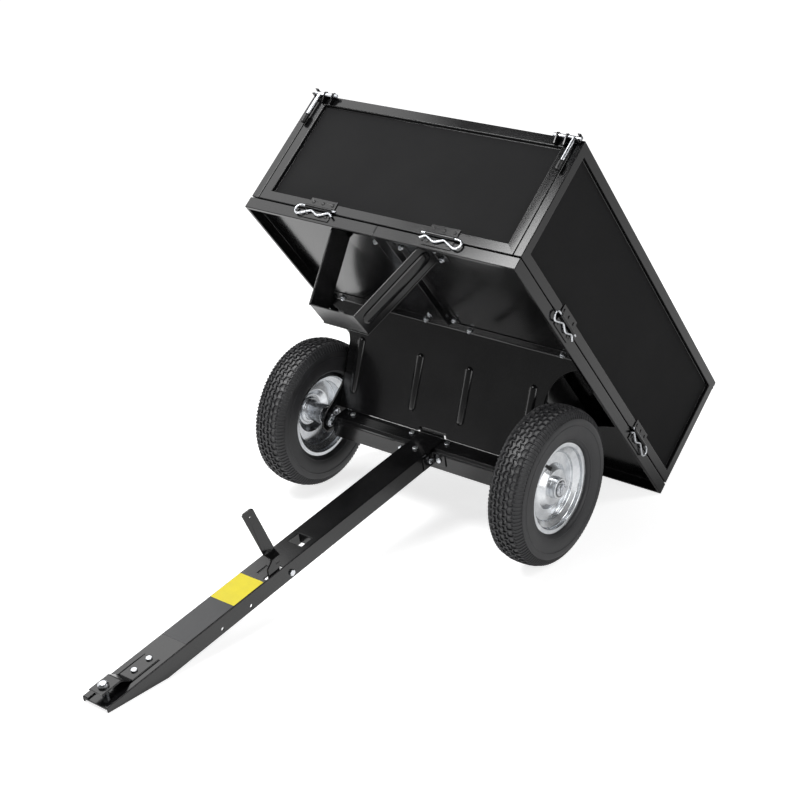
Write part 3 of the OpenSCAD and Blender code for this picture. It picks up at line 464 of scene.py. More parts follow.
@dataclass
class SheetWork:
    """CAD nodes drawn again with rolled folds and broken edges, as pressed and cut metal has.

    Args:
        nodes: The nodes to draw again.
        fold: Radius at folds, where both faces are wide.
        cut: Radius at cut edges, where a face is only as wide as the sheet.
        wide: Faces wider than this count as wide.
        finish: The finish, or None for the one of the node's material slot.
        broad: The finish of broad faces, or None for the same as the rest.
        broad_m2: Area, in square metres, from which a face is broad.
        span: Longer edges are first cut to about this length, or 0 to leave them whole.
        is_round: Whether this is round stock, whose inner corners stay sharp so that it can slide.
        rim: Shorter edges of sheet stay as they are: they are the rims of drilled holes.
        least: Shorter edges of round stock stay as they are.
        weld: Points nearer than this are made one.
        flat_deg: Faces that meet at less than this are made one.
    """

    nodes: Sequence[str]
    fold: float = 1.8
    cut: float = 0.6
    wide: float = 5.0
    finish: Finish | None = None
    broad: Finish | None = None
    broad_m2: float = 0.1
    span: float = 0.0
    is_round: bool = False
    rim: float = 0.85
    least: float = 0.1
    weld: float = 0.005
    flat_deg: float = 0.4

    def build(self) -> list[Piece]:
        """Draws every node of the group again, and gives the pieces that stand for them."""
        return [self._draw(node) for node in self.nodes]

    def _draw(self, node: str) -> Piece:
        """Copies one node, joins its flat faces, rounds its edges and dresses it.

        Args:
            node: The node's name.

        Returns:
            The finished piece.
        """
        piece = bpy.data.objects.new(f"{node}_metal", frame["nodes"][node].data.copy())
        bpy.context.scene.collection.objects.link(piece)
        select_only(piece)
        with editing():
            bpy.ops.mesh.remove_doubles(threshold=self.weld * MM)
            bpy.ops.mesh.dissolve_limited(angle_limit=math.radians(self.flat_deg))
        self._weigh(piece.data)
        with editing():
            bpy.ops.mesh.vert_connect_concave()
        rounding = piece.modifiers.new("rounding", "BEVEL")
        rounding.limit_method = "WEIGHT"
        rounding.width = self.fold * MM
        rounding.segments = 3
        rounding.use_clamp_overlap = False
        rounding.loop_slide = False
        rounding.harden_normals = True
        flats = piece.modifiers.new("flats", "WEIGHTED_NORMAL")
        flats.keep_sharp = True
        settle(piece)
        dress(piece, self.finish or FINISH_OF_SLOT[SLOT_OF[node]], node)
        if self.broad:
            piece.data.materials.append(self.broad.material())
            for face in piece.data.polygons:
                face.material_index = int(face.area > self.broad_m2)
        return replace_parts(piece, node)

    def _weigh(self, mesh: bpy.types.Mesh) -> None:
        """Writes a bevel weight on each sharp edge: full at folds, less at cut edges.

        Args:
            mesh: The merged mesh of one node.
        """
        shape = bmesh.new()
        shape.from_mesh(mesh)
        weight = shape.edges.layers.float.new("bevel_weight_edge")
        least = (self.least if self.is_round else self.rim) * MM
        wide = self.wide * MM
        for edge in shape.edges:
            length = edge.calc_length()
            if len(edge.link_faces) != 2 or length < least or not is_sharp(edge):
                continue
            if self.is_round and not edge.is_convex:
                continue
            first, last = edge.verts[0].co, edge.verts[1].co
            along = (last - first) / length
            widths = [
                max((vert.co - first).cross(along).length for vert in face.verts)
                for face in edge.link_faces
            ]
            is_long = length > wide or self._runs_on(edge)
            is_fold = is_long and min(widths) > wide
            edge[weight] = 1.0 if is_fold else min(1.0, self.cut / self.fold)
        for edge in list(shape.edges) if self.span else []:
            for left in range(int(edge.calc_length() / (self.span * MM)), 0, -1):
                bmesh.utils.edge_split(edge, edge.verts[1], 1 / (left + 1))
        shape.to_mesh(mesh)
        shape.free()

    def _runs_on(self, edge: bmesh.types.BMEdge, least_cosine: float = 0.9) -> bool:
        """Says whether a short edge is part of a sharp curve, as at a bead's round end."""
        along = direction(edge)
        return any(
            abs(along.dot(direction(other))) > least_cosine
            for vert in edge.verts
            for other in vert.link_edges
            if other != edge and is_sharp(other)
        )


class Cell(Enum):
    """What lies between two points of the tyre's outline."""

    BLOCK = "tread block"
    STAGGER = "tread block half a pitch on"
    GROOVE = "groove"
    RIB = "shoulder rib"
    WALL = "wall"


class Part(IntEnum):
    """What a face of the tyre belongs to, held as its material index while the tread is raised."""

    REST = 0
    BLOCK = 1
    RIB = 2


@dataclass
class Tyre:
    """A pneumatic tyre: a rounded carcass, rows of tread blocks and ribs down its shoulders.

    The section is a rounded square of the given power between tread and bead seat. Rows says where each
    cell of the tread ends, along the outline from the crown's middle, and crown is half of the width
    they cover. The shoulder ribs end at the radius rib_end, and their depth runs out over rib_fade
    below it. Stages says how a block or rib rises: how far its sides lean in, and over what share of its
    height. Rings holds the radii of two moulded rings on the wall, and ring_w half of their width at the
    top and at the foot. The bead widens by bead_slope up to its flange. The outline's points are picked
    from samples, at wall_step, or at bead_step within the radius bead_r.
    """

    radius: float = 200.0
    seat: float = 103.6
    flange: float = 113.2
    half_width: float = 49.0
    bead: float = 31.6
    bead_slope: float = 1.0
    power: float = 2.9
    depth: float = 5.0
    rib_depth: float = 2.2
    stages: Sequence[Vec2] = ((0.3, 0.85), (0.6, 0.15))
    pitches: int = 60
    steps: int = 8
    rows: Sequence[tuple[float, Cell]] = (
        (5.2, Cell.BLOCK),
        (7.2, Cell.GROOVE),
        (12.7, Cell.STAGGER),
        (18.2, Cell.STAGGER),
        (20.2, Cell.GROOVE),
        (26.4, Cell.BLOCK),
        (32.6, Cell.BLOCK),
        (34.4, Cell.GROOVE),
    )
    zigzag: float = 2.2
    crown: float = 35.0
    rib_end: float = 176.0
    rib_fade: float = 6.0
    track: float = 730.0
    rings: Vec2 = (156.0, 121.0)
    ring_w: Vec2 = (1.0, 1.7)
    ring_rise: float = 0.9
    samples: int = 4000
    wall_step: float = 4.5
    bead_step: float = 3.0
    bead_r: float = 130.0
    weld: float = 0.01

    def section(self) -> list[tuple[float, float, Cell]]:
        """Samples half of the outline from the crown's middle to the bead.

        Returns:
            Radius and offset across the tyre of each point, with the kind of the cell that follows it.
        """
        middle = (self.radius + self.seat) / 2
        rise = (self.radius - self.seat) / 2
        dense: list[Vec2] = []
        for i in range(self.samples + 1):
            turn = math.pi * i / self.samples
            c, s = math.cos(turn), math.sin(turn)
            along = math.copysign(abs(c) ** (2 / self.power), c) * rise + middle
            dense.append((along, self.half_width * abs(s) ** (2 / self.power)))
        top, foot = self.ring_w
        creases = [ring + step for ring in self.rings for step in (foot, top, -top, -foot)]
        kinds = [kind for _, kind in self.rows] + [Cell.RIB]
        picked: list[tuple[float, float, Cell]] = [(*dense[0], kinds[0])]
        run = 0.0
        row = 0
        for before, (r, x) in zip(dense, dense[1:]):
            run += math.dist((r, x), before)
            step = self.wall_step if r > self.bead_r else self.bead_step
            if row < len(self.rows):
                if run >= self.rows[row][0]:
                    row += 1
                    picked.append((r, x, kinds[row]))
            elif creases and r <= creases[0]:
                creases.pop(0)
                picked.append((r, x, Cell.WALL))
            elif math.dist((r, x), picked[-1][:2]) > step:
                picked.append((r, x, Cell.RIB if r > self.rib_end else Cell.WALL))
            if r < self.flange and x < self.half_width:
                break
        picked.append((self.flange, self.bead + self.bead_slope, Cell.WALL))
        picked.append((self.seat, self.bead, Cell.WALL))
        return picked

    def build(self, name: str, side: int) -> Piece:
        """Models one tyre: a grid wrapped round the wheel, with its tread faces inset and raised.

        Args:
            name: The node's name.
            side: 1 for the right wheel and -1 for the left.

        Returns:
            The finished tyre.
        """
        half = self.section()
        kinds = [kind for _, _, kind in half[:-1]]
        outline = [(r, -x) for r, x, _ in reversed(half)] + [(r, x) for r, x, _ in half[1:]]
        outline.append(outline[0])
        cells = [*reversed(kinds), *kinds, Cell.WALL]
        around = self.pitches * self.steps
        bpy.ops.object.select_all(action="DESELECT")
        bpy.ops.mesh.primitive_grid_add(x_subdivisions=around, y_subdivisions=len(cells), location=ORIGIN)
        piece = bpy.context.object
        piece.name = f"{name}_tread"
        mesh = piece.data
        self._wrap(mesh, outline, around, side)
        select_only(piece)
        parts = [self._part(cells[i // around], i % around) for i in range(len(mesh.polygons))]
        mesh.polygons.foreach_set("material_index", parts)
        self._raise(mesh, Part.RIB, self.rib_depth)
        self._raise(mesh, Part.BLOCK, self.depth)
        with editing():
            bpy.ops.mesh.remove_doubles(threshold=self.weld * MM)
        settle(piece, angle_deg=40.0)
        # The tops of the tread blocks take the lighter rubber: a painted highlight on them.
        highlit_tops = [int(face.material_index == Part.BLOCK) for face in mesh.polygons]
        dress(piece, TYRE_RUBBER, name)
        mesh.materials.append(TREAD_TOP_HIGHLIGHT.material())
        mesh.polygons.foreach_set("material_index", highlit_tops)
        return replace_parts(piece, name)

    def _raise(self, mesh: bpy.types.Mesh, part: Part, height: float) -> None:
        """Insets and raises the faces of one part of the tread, and leaves only their tops in it.

        Args:
            mesh: The active piece's mesh.
            part: The part to raise.
            height: How far the tops rise.
        """
        with editing("DESELECT"):
            bpy.ops.mesh.select_mode(type="FACE")
        mesh.polygons.foreach_set("select", [face.material_index == part for face in mesh.polygons])
        with editing(None):
            for lean, share in self.stages:
                bpy.ops.mesh.inset(thickness=lean * MM, depth=height * share * MM)
        for face in mesh.polygons:
            if face.material_index == part and not face.select:
                face.material_index = Part.REST

    def _part(self, kind: Cell, step: int) -> Part:
        """Says what a face is part of.

        Args:
            kind: The face's cell.
            step: Its place round the tyre, in steps.

        Returns:
            The part.
        """
        half = self.steps // 2
        if kind is Cell.BLOCK and step % self.steps:
            return Part.BLOCK
        if kind is Cell.STAGGER and (step + half) % self.steps:
            return Part.BLOCK
        return Part.RIB if kind is Cell.RIB and step % half else Part.REST

    def _wrap(self, mesh: bpy.types.Mesh, outline: Sequence[Vec2], around: int, side: int) -> None:
        """Moves a grid's points onto the tyre.

        Args:
            mesh: The grid, with one row of points for each point of the outline.
            outline: Radius and offset across the tyre, from bead to bead and closed.
            around: Faces round the tyre.
            side: 1 for the right wheel and -1 for the left.
        """
        points: list[float] = []
        for i in range(len(outline)):
            r, x = self._lower(outline, i)
            sway = self.zigzag if abs(x) < self.crown and r > self.rib_end else 0.0
            for step in range(around + 1):
                wave = abs((step % self.steps) / self.steps - 0.5) * 4 - 1
                turn = 2 * math.pi * step / around
                points += [
                    (side * self.track / 2 + x + sway * wave) * MM,
                    (STANCE.axle_y + r * math.sin(turn)) * MM,
                    (STANCE.axle_z + r * math.cos(turn)) * MM,
                ]
        mesh.vertices.foreach_set("co", points)
        mesh.update()

    def _lower(self, outline: Sequence[Vec2], i: int) -> Vec2:
        """Sinks a point of the outline by the tread's depth, or raises a moulded ring on the wall.

        Args:
            outline: The outline's points.
            i: Index of the point.

        Returns:
            The point's radius and offset after the move.
        """
        r, x = outline[i]
        before, after = outline[max(i - 1, 0)], outline[min(i + 1, len(outline) - 2)]
        run = Vector((after[0] - before[0], after[1] - before[1])).normalized()
        out = Vector((run[1], -run[0]))
        middle = (self.radius + self.seat) / 2
        if out.dot(Vector((r - middle, x))) < 0:
            out = -out
        fade = min(1.0, max(0.0, (r - self.rib_end + self.rib_fade) / self.rib_fade))
        reach = sum(self.ring_w) / 2
        rise = self.ring_rise if any(abs(r - ring) < reach for ring in self.rings) else 0.0
        deep = self.depth if abs(x) < self.crown else self.rib_depth
        move = out * (rise - deep * fade)
        return r + move[0], x + move[1]


@dataclass
class Wheels:
    """Both wheels: tyres, rims, hubs, bearings and valves."""

    tyre: Tyre = field(default_factory=Tyre)

    def build(self) -> None:
        """Builds the wheels' pieces."""
        for side, hand in ((1, "right"), (-1, "left")):
            self.tyre.build(f"{hand}_tyre", side)
        SheetWork(["left_rim", "right_rim"], fold=2.2, cut=1.2, wide=4.0, finish=RIM_ZINC).build()
        SheetWork(["left_hub", "right_hub"], fold=1.6, cut=1.0, wide=4.0, finish=RIM_ZINC).build()
        SheetWork(["left_bearings", "right_bearings"], fold=0.6, cut=0.5, is_round=True).build()
        SheetWork(["axle_fittings", "axle_shaft"], fold=1.0, cut=0.6, wide=3.0, is_round=True).build()
        SheetWork(["left_valve", "right_valve"], fold=0.4, cut=0.3, wide=3.0, is_round=True).build()


@dataclass
class RClips:
    """The spring clips that are the panels' hinge pins: a straight leg, an eye and a wavy leg.

    The hinge line lies out from the sill's face and height above the sill's bottom. Bends holds each
    bend's radius and turn in degrees, or 0 and the length of a straight run. The end panels' hinges lie
    end_at from the middle, and the side panels' hinges side_front and side_rear from the bed's ends.
    """

    wire_r: float = 2.75
    leg: float = 104.0
    out: float = 6.0
    height: float = 36.0
    tilt_deg: float = -88.0
    bends: Sequence[Vec2] = ((12, 205), (0, 28), (12, -50), (0, 14), (14, 50), (0, 20), (9, -60), (0, 11))
    bed_w: float = 795.0
    bed_l: float = 1045.0
    end_at: float = 179.0
    side_front: float = 271.0
    side_rear: float = 246.0

    def outline(self) -> list[Vec2]:
        """Walks along the bent wire in its own plane.

        Returns:
            Points from the straight leg's free end to the wavy leg's tip.
        """
        x, y, head = self.leg, 0.0, 0.0
        path: list[Vec2] = [(0.0, 0.0), (self.leg * 0.5, 0.0), (x, y)]
        for radius, amount in self.bends:
            if radius == 0:
                x, y = x + amount * math.cos(head), y + amount * math.sin(head)
                path.append((x, y))
                continue
            count = max(3, int(abs(amount) / 10))
            turn = math.radians(amount) / count
            chord = 2 * radius * math.sin(abs(turn) / 2)
            for _ in range(count):
                head += turn / 2
                x, y = x + chord * math.cos(head), y + chord * math.sin(head)
                head += turn / 2
                path.append((x, y))
        return path

    def places(self) -> list[Matrix]:
        """Lists the hinges' frames on the bed.

        Returns:
            Frames with X along the sill to the nearer corner, and Y outward.
        """
        half_w, half_l = self.bed_w / 2, self.bed_l / 2
        front = Matrix.Rotation(math.pi, 4, "Z")
        rear = Matrix.Translation((0, self.bed_l, 0))
        right = Matrix.Translation((half_w, half_l, 0)) @ Matrix.Rotation(-math.pi / 2, 4, "Z")
        left = Matrix.Translation((-half_w, half_l, 0)) @ Matrix.Rotation(math.pi / 2, 4, "Z")
        a, b = half_l - self.side_front, half_l - self.side_rear
        ends = [(face, x) for face in (front, rear) for x in (-self.end_at, self.end_at)]
        sides = [(right, a), (right, -b), (left, -a), (left, b)]
        flip = Matrix.Scale(-1, 4, (1, 0, 0))
        found: list[Matrix] = []
        for face, x in ends + sides:
            hinge = face @ Matrix.Translation((x, self.out, self.height))
            found.append(hinge @ flip if x < 0 else hinge)
        return found

    def build(self) -> Piece:
        """Bends one clip for each hinge and joins them.

        Returns:
            The clips, which stand for the CAD node.
        """
        clips: list[Piece] = []
        centre = Matrix.Translation((-self.leg / 2, 0, 0))
        tilt = centre @ Matrix.Rotation(math.radians(self.tilt_deg), 4, "X")
        for i, place in enumerate(self.places()):
            to_model = STANCE.matrix(Way.BED) @ place @ tilt
            path = [to_model @ Vector((x, y, 0.0)) for x, y in self.outline()]
            clips.append(wire(f"hinge_clip_wire_{i}", path, self.wire_r * MM))
        piece = merge(clips, "hinge_clip_wires")
        dress(piece, ZINC_PLATE, "hinge_clips")
        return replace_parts(piece, "hinge_clips")


@dataclass(frozen=True)
class PressedBead:
    """A stiffening bead pressed out of a sheet: a long half-round ridge with round ends.

    Args:
        width: Width of the ridge.
        run: Distance between the middles of its round ends.
        rise: Height of the ridge above the sheet.
        sunk: How far it starts below the sheet's face.
    """

    width: float
    run: float
    rise: float
    sunk: float = 0.4

    def build(self, name: str, places: Sequence[Matrix]) -> Piece:
        """Models one ridge and joins a copy of it at every place.

        Args:
            name: The piece's name.
            places: Frames on the bed: X across the ridge, Y along it from its first end, and Z off the
                sheet.

        Returns:
            The finished beads.
        """
        bpy.ops.object.select_all(action="DESELECT")
        bpy.ops.mesh.primitive_uv_sphere_add(
            segments=32, ring_count=13, radius=self.width / 2, location=ORIGIN
        )
        ridge = bpy.context.object
        squash = (1.0, 1.0, 2 * self.rise / self.width)
        with editing():
            bpy.ops.mesh.select_mode(type="VERT")
            bpy.ops.transform.rotate(value=math.pi / 2, orient_axis="X", center_override=ORIGIN)
            bpy.ops.transform.resize(value=squash, center_override=ORIGIN)
            bpy.ops.mesh.bisect(
                plane_co=(0.0, 0.0, -self.sunk),
                plane_no=(0.0, 0.0, 1.0),
                use_fill=True,
                clear_inner=True,
            )
            bpy.ops.mesh.select_all(action="DESELECT")
        for vert in ridge.data.vertices:
            vert.select = vert.co.y > 0.0
        with editing(None):
            bpy.ops.transform.translate(value=(0.0, self.run, 0.0))
        copies = [bpy.data.objects.new(name, ridge.data.copy()) for _ in places]
        bpy.data.objects.remove(ridge)
        for copy, place in zip(copies, places):
            copy.data.transform(STANCE.matrix(Way.BED) @ place)
            bpy.context.scene.collection.objects.link(copy)
        piece = settle(merge(copies, name), angle_deg=50.0)
        return dress(piece, POWDER_COAT, "hoop")


@dataclass
class Bed:
    """The bed: floor pans, saddle, hoop and hinges.

    Each bulkhead runs back and down from a fold that lies fold_v from the bed's front and fold_up above
    the sill's bottom. Its ribs are beads at these distances from the middle, with a start and run in
    parts of the bulkhead. The hoop's foot and top are the strap's outer corners, across and up. The
    bead on a leg keeps leg_end from the leg's ends, and the strap's rolled lips run up a share of the
    leg. A bead's size is its width and rise.
    """

    clips: RClips = field(default_factory=RClips)
    fold_v: float = 430.0
    fold_up: float = 25.5
    bulkhead: Vec2 = (148.0, 230.5)
    ribs: Vec2 = (76.0, 267.5)
    rib_span: Vec2 = (0.34, 0.46)
    rib_size: Vec2 = (24.0, 7.5)
    hoop_v: float = 49.0
    hoop_w: float = 78.0
    hoop_foot: Vec2 = (66.0, -200.0)
    hoop_top: Vec2 = (134.0, 25.0)
    leg_size: Vec2 = (36.0, 6.2)
    leg_end: float = 28.0
    lip_r: float = 2.2
    lip_in: float = 1.5
    lip_share: float = 0.97

    def build(self) -> None:
        """Builds the bed's pieces."""
        self._bulkhead_beads()
        self._hoop_beads()
        self._hoop_lips()
        SheetWork(["floor_left", "floor_right", "seam_strap"], fold=1.6, cut=0.5).build()
        SheetWork(["saddle_front", "saddle_rear"], fold=2.4, cut=0.7, wide=3.5).build()
        SheetWork(["end_plate_left", "end_plate_right", "hoop"], fold=1.8, cut=0.8, wide=3.5).build()
        SheetWork(["pivot_flanges", "sill_hinge_leaves"], fold=1.0, cut=0.6).build()
        SheetWork(["pivot_bolts", "bed_bolts"], fold=1.4, cut=1.0, wide=3.0, is_round=True).build()
        SheetWork(["sill_hinge_rivets"], fold=0.4, cut=0.3).build()
        self.clips.build()

    def _bulkhead_beads(self) -> None:
        """Presses the upright beads of both bulkheads."""
        length = math.hypot(*self.bulkhead)
        slope = math.atan2(-self.bulkhead[1], self.bulkhead[0])
        face = Matrix.Translation((0, self.fold_v, self.fold_up)) @ Matrix.Rotation(slope, 4, "X")
        outward = Matrix.Rotation(math.pi, 4, "Y")
        start, run = (share * length for share in self.rib_span)
        spots = [(side * x, start, 0) for x in self.ribs for side in (-1, 1)]
        front = [face @ Matrix.Translation(spot) @ outward for spot in spots]
        about = Matrix.Translation((0, 2 * STANCE.axle_v, 0)) @ Matrix.Rotation(math.pi, 4, "Z")
        bead = PressedBead(self.rib_size[0], run, self.rib_size[1])
        bead.build("front_bulkhead_beads", front)
        bead.build("rear_bulkhead_beads", [about @ place for place in front])

    def _hoop_beads(self) -> None:
        """Presses a long bead down each leg of the hoop."""
        foot, top = Vector(self.hoop_foot), Vector(self.hoop_top)
        along = (top - foot).normalized()
        start = foot + along * self.leg_end
        axes = Matrix(((0, along[0], along[1]), (1, 0, 0), (0, along[1], -along[0])))
        right = Matrix.Translation((start[0], self.hoop_v, start[1])) @ axes.to_4x4()
        about = Matrix.Translation((0, 2 * self.hoop_v, 0)) @ Matrix.Rotation(math.pi, 4, "Z")
        run = (top - foot).length - 2 * self.leg_end
        bead = PressedBead(self.leg_size[0], run, self.leg_size[1])
        bead.build("hoop_leg_beads", [right, about @ right])

    def _hoop_lips(self) -> Piece:
        """Rolls the edges of the hoop's strap.

        Returns:
            The rolled edges.
        """
        foot = Vector(self.hoop_foot)
        high = foot.lerp(Vector(self.hoop_top), self.lip_share)
        near, far = (self.hoop_v + s * (self.hoop_w / 2 - self.lip_in) for s in (-1, 1))
        runs = [[(s * high[0], near, high[1]), (s * foot[0], near, foot[1])] for s in (-1, 1)]
        corners = ((-1, high), (-1, foot), (1, foot), (1, high))
        runs.append([(s * at[0], far, at[1]) for s, at in corners])
        to_model = STANCE.matrix(Way.BED)
        lips = [wire("hoop_lip", [to_model @ Vector(p) for p in run], self.lip_r * MM) for run in runs]
        return dress(merge(lips, "hoop_rolled_edges"), POWDER_COAT, "hoop")


@dataclass
class Panels:
    """The four fold-down panels with their hinges and the corner latches."""

    names: Sequence[str] = ("front", "tailgate", "left", "right")

    def build(self) -> None:
        """Builds the panels' and latches' pieces."""
        sheets = [f"{side}_panel" for side in ("front", "left", "right")] + ["tailgate"]
        SheetWork(sheets, fold=1.8, cut=0.5, wide=4.0, broad=DRY_COAT).build()
        SheetWork([f"{name}_hinge_leaves" for name in self.names], fold=1.0, cut=0.6).build()
        SheetWork([f"{name}_hinge_rivets" for name in self.names], fold=0.4, cut=0.3).build()
        fittings = ["front_latch_lugs", "tailgate_latch_lugs", "left_keepers", "right_keepers"]
        SheetWork(fittings, fold=1.0, cut=0.8).build()
        corners = [f"{end}_{side}" for end in ("front", "rear") for side in ("left", "right")]
        latches = [f"{corner}_latch" for corner in corners]
        SheetWork(latches, fold=1.2, cut=0.8, wide=3.0, is_round=True).build()
        grips = [f"{corner}_grip" for corner in corners]
        SheetWork(grips, fold=0.8, cut=0.6, wide=3.0, is_round=True).build()


@dataclass
class ReturnSpring:
    """The lever's return spring: an open coil with straight ends.

    Start and end are places on the tongue (across, back, up), and the lead is in coil diameters.
    """

    start: Vec3 = (20.5, -458.6, 4.7)
    end: Vec3 = (20.5, -588.7, 4.7)
    coil_d: float = 12.0
    wire_d: float = 1.6
    turns: int = 16
    steps: int = 16
    lead: float = 0.6

    def build(self) -> Piece:
        """Winds the spring.

        Returns:
            The spring, which stands for the CAD node.
        """
        first, last = Vector(self.start), Vector(self.end)
        lead = Vector((0, self.coil_d * self.lead, 0))
        pitch = ((last - first).length - 2 * self.coil_d) / self.turns
        radius = (self.coil_d - self.wire_d) / 2
        path = [first, first - lead]
        for i in range(self.turns * self.steps + 1):
            turn = 2 * math.pi * i / self.steps
            back = -self.coil_d - pitch * i / self.steps
            path.append(first + Vector((radius * math.sin(turn), back, radius * math.cos(turn))))
        path += [last + lead, last]
        to_model = STANCE.matrix(Way.TONGUE)
        path = [to_model @ point for point in path]
        piece = wire("lever_return_spring", path, self.wire_d / 2 * MM, sides=8)
        dress(piece, SPRING_WIRE, "lever_spring")
        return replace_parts(piece, "lever_spring")


@dataclass
class Drawbar:
    """The tongue with its hitch, the axle beam, the release lever and two plain film patches.

    The tongue's top and the ends of the yellow and the charcoal patch are measured from the axle. A
    patch's face lies lift above the tongue.
    """

    top: float = 15.7
    half_w: float = 35.5
    lift: float = 0.25
    film: float = 0.2
    corner: float = 2.0
    yellow: Vec2 = (640.0, 738.0)
    charcoal: Vec2 = (738.5, 888.0)
    spring: ReturnSpring = field(default_factory=ReturnSpring)

    def build(self) -> None:
        """Builds the drawbar's pieces."""
        SheetWork(["tongue", "hitch_plate"], fold=2.2, cut=0.9, wide=6.0, span=30.0).build()
        SheetWork(["axle_beam", "beam_rear_angle", "tongue_brackets"], fold=1.6, cut=0.8).build()
        SheetWork(["lever"], fold=1.0, cut=0.9).build()
        SheetWork(["lever_pivot", "tongue_bolts"], fold=1.3, cut=0.9, wide=3.0, is_round=True).build()
        SheetWork(["hitch_pin"], fold=0.5, cut=0.4, wide=3.0, is_round=True).build()
        self.spring.build()
        self._patch("yellow_film_patch", self.yellow, YELLOW_FILM)
        self._patch("charcoal_film_patch", self.charcoal, CHARCOAL_FILM)

    def _patch(self, name: str, ends: Vec2, finish: Finish) -> Piece:
        """Lays a plain film patch with rounded corners on the tongue's top.

        Args:
            name: The piece's name.
            ends: Distances of its rear and front edge from the axle.
            finish: The film.

        Returns:
            The finished patch.
        """
        near, far = ends
        bpy.ops.object.select_all(action="DESELECT")
        bpy.ops.mesh.primitive_plane_add(size=1.0, location=ORIGIN)
        piece = bpy.context.object
        piece.name = name
        with editing():
            bpy.ops.transform.resize(value=(2 * self.half_w, far - near, 1.0))
            bpy.ops.mesh.bevel(offset=self.corner, segments=4, affect="VERTICES")
        place = Matrix.Translation((0.0, -(near + far) / 2, self.top + self.lift))
        piece.data.transform(STANCE.matrix(Way.TONGUE) @ place)
        thick = piece.modifiers.new("film", "SOLIDIFY")
        thick.thickness = self.film * MM
        bpy.ops.object.modifier_apply(modifier=thick.name)
        settle(piece)
        return dress(piece, finish, "tongue")


@dataclass
class Floor:
    """The pale floor: white to the eye, with the cart's shadow, and dim to mirrors under its rear.

    Sizes are in metres. The light to the eye rises over the halo. The light to mirrors is painted light
    and shade: it falls over the slope from left to right, a painted fall-off of the lamps, and it drops
    in a patch of painted shadow under the cart's rear, of which only a share is left at its middle.
    """

    side: float = 40.0
    drop: float = 0.0005
    halo: Vec2 = (0.6, 1.6)
    halo_light: Vec2 = (0.75, 1.0)
    # Painted light: the light to mirrors is full on the left, where the lamps fall, and dims towards the right.
    slope: Vec2 = (-0.7, 0.5)
    painted_falloff: Vec2 = (1.0, 0.45)
    # Painted shadow: under the cart's rear, the light to mirrors drops in a patch of painted shade.
    painted_shadow_at: Vec3 = (0.3, 0.6, 0.0)
    dark: Vec2 = (0.16, 0.38)
    painted_shadow_share: Vec2 = (0.08, 1.0)

    def build(self) -> None:
        """Lays the floor."""
        bpy.ops.object.select_all(action="DESELECT")
        bpy.ops.mesh.primitive_plane_add(size=self.side, location=(0.0, 0.0, -self.drop))
        floor = bpy.context.object
        floor.name = "floor"
        paper = bpy.data.materials.new("white paper floor")
        paper.use_nodes = True
        tree = paper.node_tree
        tree.nodes.clear()
        matte = add_node(tree, "BsdfDiffuse", {"Color": linear("#d9d9d9")})
        glow = add_node(tree, "Emission", {"Color": linear("#ffffff"), "Strength": self._light(tree)})
        lit = add_node(tree, "AddShader", {0: matte.outputs[0], 1: glow.outputs[0]})
        add_node(tree, "OutputMaterial", {"Surface": lit.outputs[0]})
        floor.data.materials.append(paper)

    def _light(self, tree: Tree) -> Socket:
        """Works out the floor's own light, to the eye and to mirrors.

        Args:
            tree: The floor's node tree.

        Returns:
            The strength of the light.
        """
        seen = seen_by(tree, "Is Camera Ray", "Is Transmission Ray")
        mirrored = seen_by(tree, "Is Glossy Ray")
        place = add_node(tree, "TexCoord").outputs["Object"]
        reach = add_node(tree, "VectorMath", {0: place}, operation="LENGTH").outputs["Value"]
        across = add_node(tree, "SeparateXYZ", {0: place}).outputs["X"]
        apart = {0: place, 1: self.painted_shadow_at}
        from_painted_shadow = add_node(tree, "VectorMath", apart, operation="DISTANCE").outputs["Value"]
        to_eye = spread(tree, reach, self.halo, self.halo_light)
        # Painted light and shade for mirrors: a fall-off from left to right and a painted shadow under the cart's
        # rear.
        painted_falloff_factor = spread(tree, across, self.slope, self.painted_falloff)
        shade = spread(tree, from_painted_shadow, self.dark, self.painted_shadow_share)
        painted_mirror_light = compute(tree, "MULTIPLY", mirrored, compute(tree, "MULTIPLY", painted_falloff_factor, shade))
        return compute(tree, "MULTIPLY_ADD", seen, to_eye, painted_mirror_light)


@dataclass(frozen=True)
class Softbox:
    """A square lamp: its place, the point it faces and its side, in metres, and its power, in watts."""

    name: str
    place: Vec3
    aim: Vec3
    side: float
    power: float

    def build(self) -> None:
        """Hangs the lamp."""
        bpy.ops.object.select_all(action="DESELECT")
        bpy.ops.object.light_add(type="AREA", location=self.place)
        lamp = bpy.context.object
        lamp.name = self.name
        lamp.data.size = self.side
        lamp.data.energy = self.power
        sight = Vector(self.aim) - Vector(self.place)
        lamp.rotation_euler = sight.to_track_quat("-Z", "Y").to_euler()


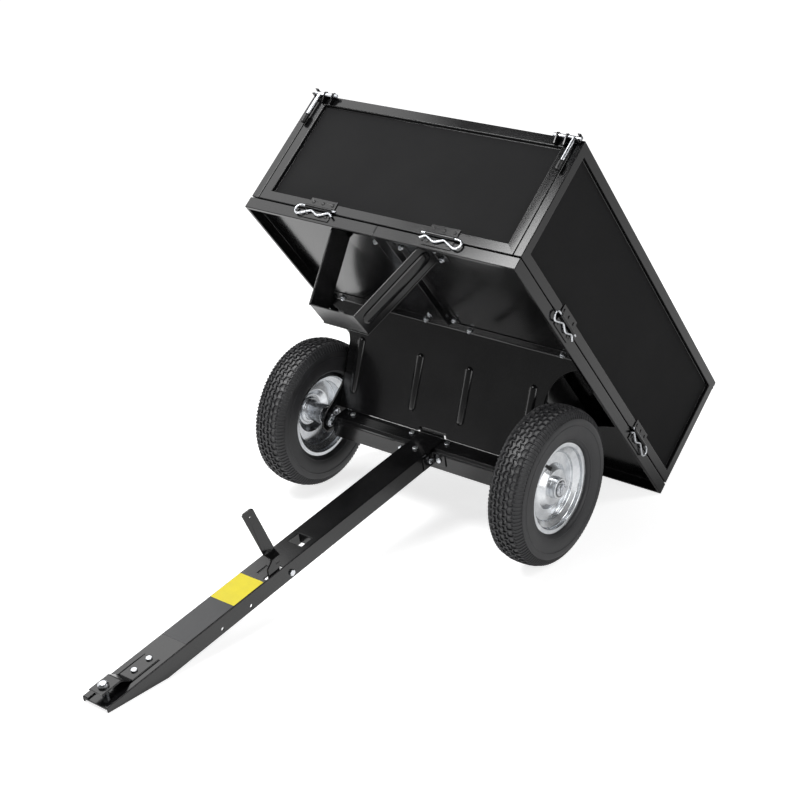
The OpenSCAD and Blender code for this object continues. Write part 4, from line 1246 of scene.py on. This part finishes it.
@dataclass
class Studio:
    """The floor, the soft lights, the world and the camera at the photograph's viewing angle.

    The eye is in metres, the lens for a 36 mm sensor, and the shift in parts of the picture's width.
    """

    eye: Vec3 = (2.3928, -2.8855, 1.9311)
    azimuth_deg: float = 38.3055
    elevation_deg: float = 21.7844
    roll_deg: float = -0.1977
    lens: float = 76.81
    shift: Vec2 = (-0.0234, -0.0263)
    floor: Floor = field(default_factory=Floor)
    lamps: Sequence[Softbox] = (
        Softbox("key softbox", (-0.72, -1.0, 2.6), (0.1, 0.0, 0.4), 1.15, 56.0),
        Softbox("overhead softbox", (2.4, 0.8, 3.1), (0.2, 0.2, 0.4), 1.1, 22.0),
        Softbox("left softbox", (-2.4, 0.25, 2.6), (0.0, 0.0, 0.4), 2.0, 30.0),
        Softbox("front softbox", (-3.2, -1.5, 1.1), (0.0, 0.0, 0.4), 2.0, 16.0),
        Softbox("right softbox", (3.0, -0.6, 1.4), (0.2, 0.2, 0.4), 2.0, 32.0),
    )

    def build(self) -> None:
        """Builds the studio."""
        self._camera()
        self.floor.build()
        self._world()
        for lamp in self.lamps:
            lamp.build()

    def _camera(self) -> None:
        """Sets the camera for a square picture."""
        turns = (self.azimuth_deg, self.elevation_deg, self.roll_deg)
        az, el, roll = (math.radians(turn) for turn in turns)
        back = Vector((math.sin(az) * math.cos(el), -math.cos(az) * math.cos(el), math.sin(el)))
        right = Vector((math.cos(az), math.sin(az), 0.0))
        up = back.cross(right)
        rolled = math.cos(roll) * right + math.sin(roll) * up
        above = -math.sin(roll) * right + math.cos(roll) * up
        bpy.ops.object.select_all(action="DESELECT")
        bpy.ops.object.camera_add()
        camera = bpy.context.object
        axes = Matrix((rolled, above, back)).transposed()
        camera.matrix_world = Matrix.Translation(self.eye) @ axes.to_4x4()
        camera.data.sensor_width = 36.0
        camera.data.lens = self.lens
        camera.data.shift_x, camera.data.shift_y = self.shift
        camera.data.clip_end = 60.0
        bpy.context.scene.camera = camera

    def _world(self) -> None:
        """Sets the surroundings: white to the eye, with a dim ceiling over the cart."""
        world = bpy.data.worlds.new("studio")
        world.use_nodes = True
        tree = world.node_tree
        tree.nodes.clear()
        towards = add_node(tree, "TexCoord").outputs["Generated"]
        height = add_node(tree, "SeparateXYZ", {0: towards}).outputs["Z"]
        walls = ramp(
            add_node(tree, "ValToRGB", {"Fac": height}),
            [(0.0, "#a8a8a8"), (0.3, "#8c8c8c"), (0.62, "#4a4a4a"), (1.0, "#303030")],
        )
        around = add_node(tree, "Background", {"Color": walls, "Strength": 0.8})
        white = add_node(tree, "Background", {"Color": linear("#ffffff"), "Strength": 1.0})
        seen = seen_by(tree, "Is Camera Ray", "Is Transmission Ray")
        mixed = add_node(tree, "MixShader", {0: seen, 1: around.outputs[0], 2: white.outputs[0]})
        add_node(tree, "OutputWorld", {"Surface": mixed.outputs[0]})
        bpy.context.scene.world = world
        bpy.context.scene.view_settings.view_transform = "Standard"


def main() -> None:
    """Builds the studio and every sub-assembly in order."""
    logging.basicConfig(level=logging.INFO, format="%(message)s")
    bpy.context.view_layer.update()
    Studio().build()
    for assembly in (Drawbar(), Bed(), Panels(), Wheels()):
        assembly.build()
        LOG.info("%s done", type(assembly).__name__)


if __name__ == "__main__":
    main()
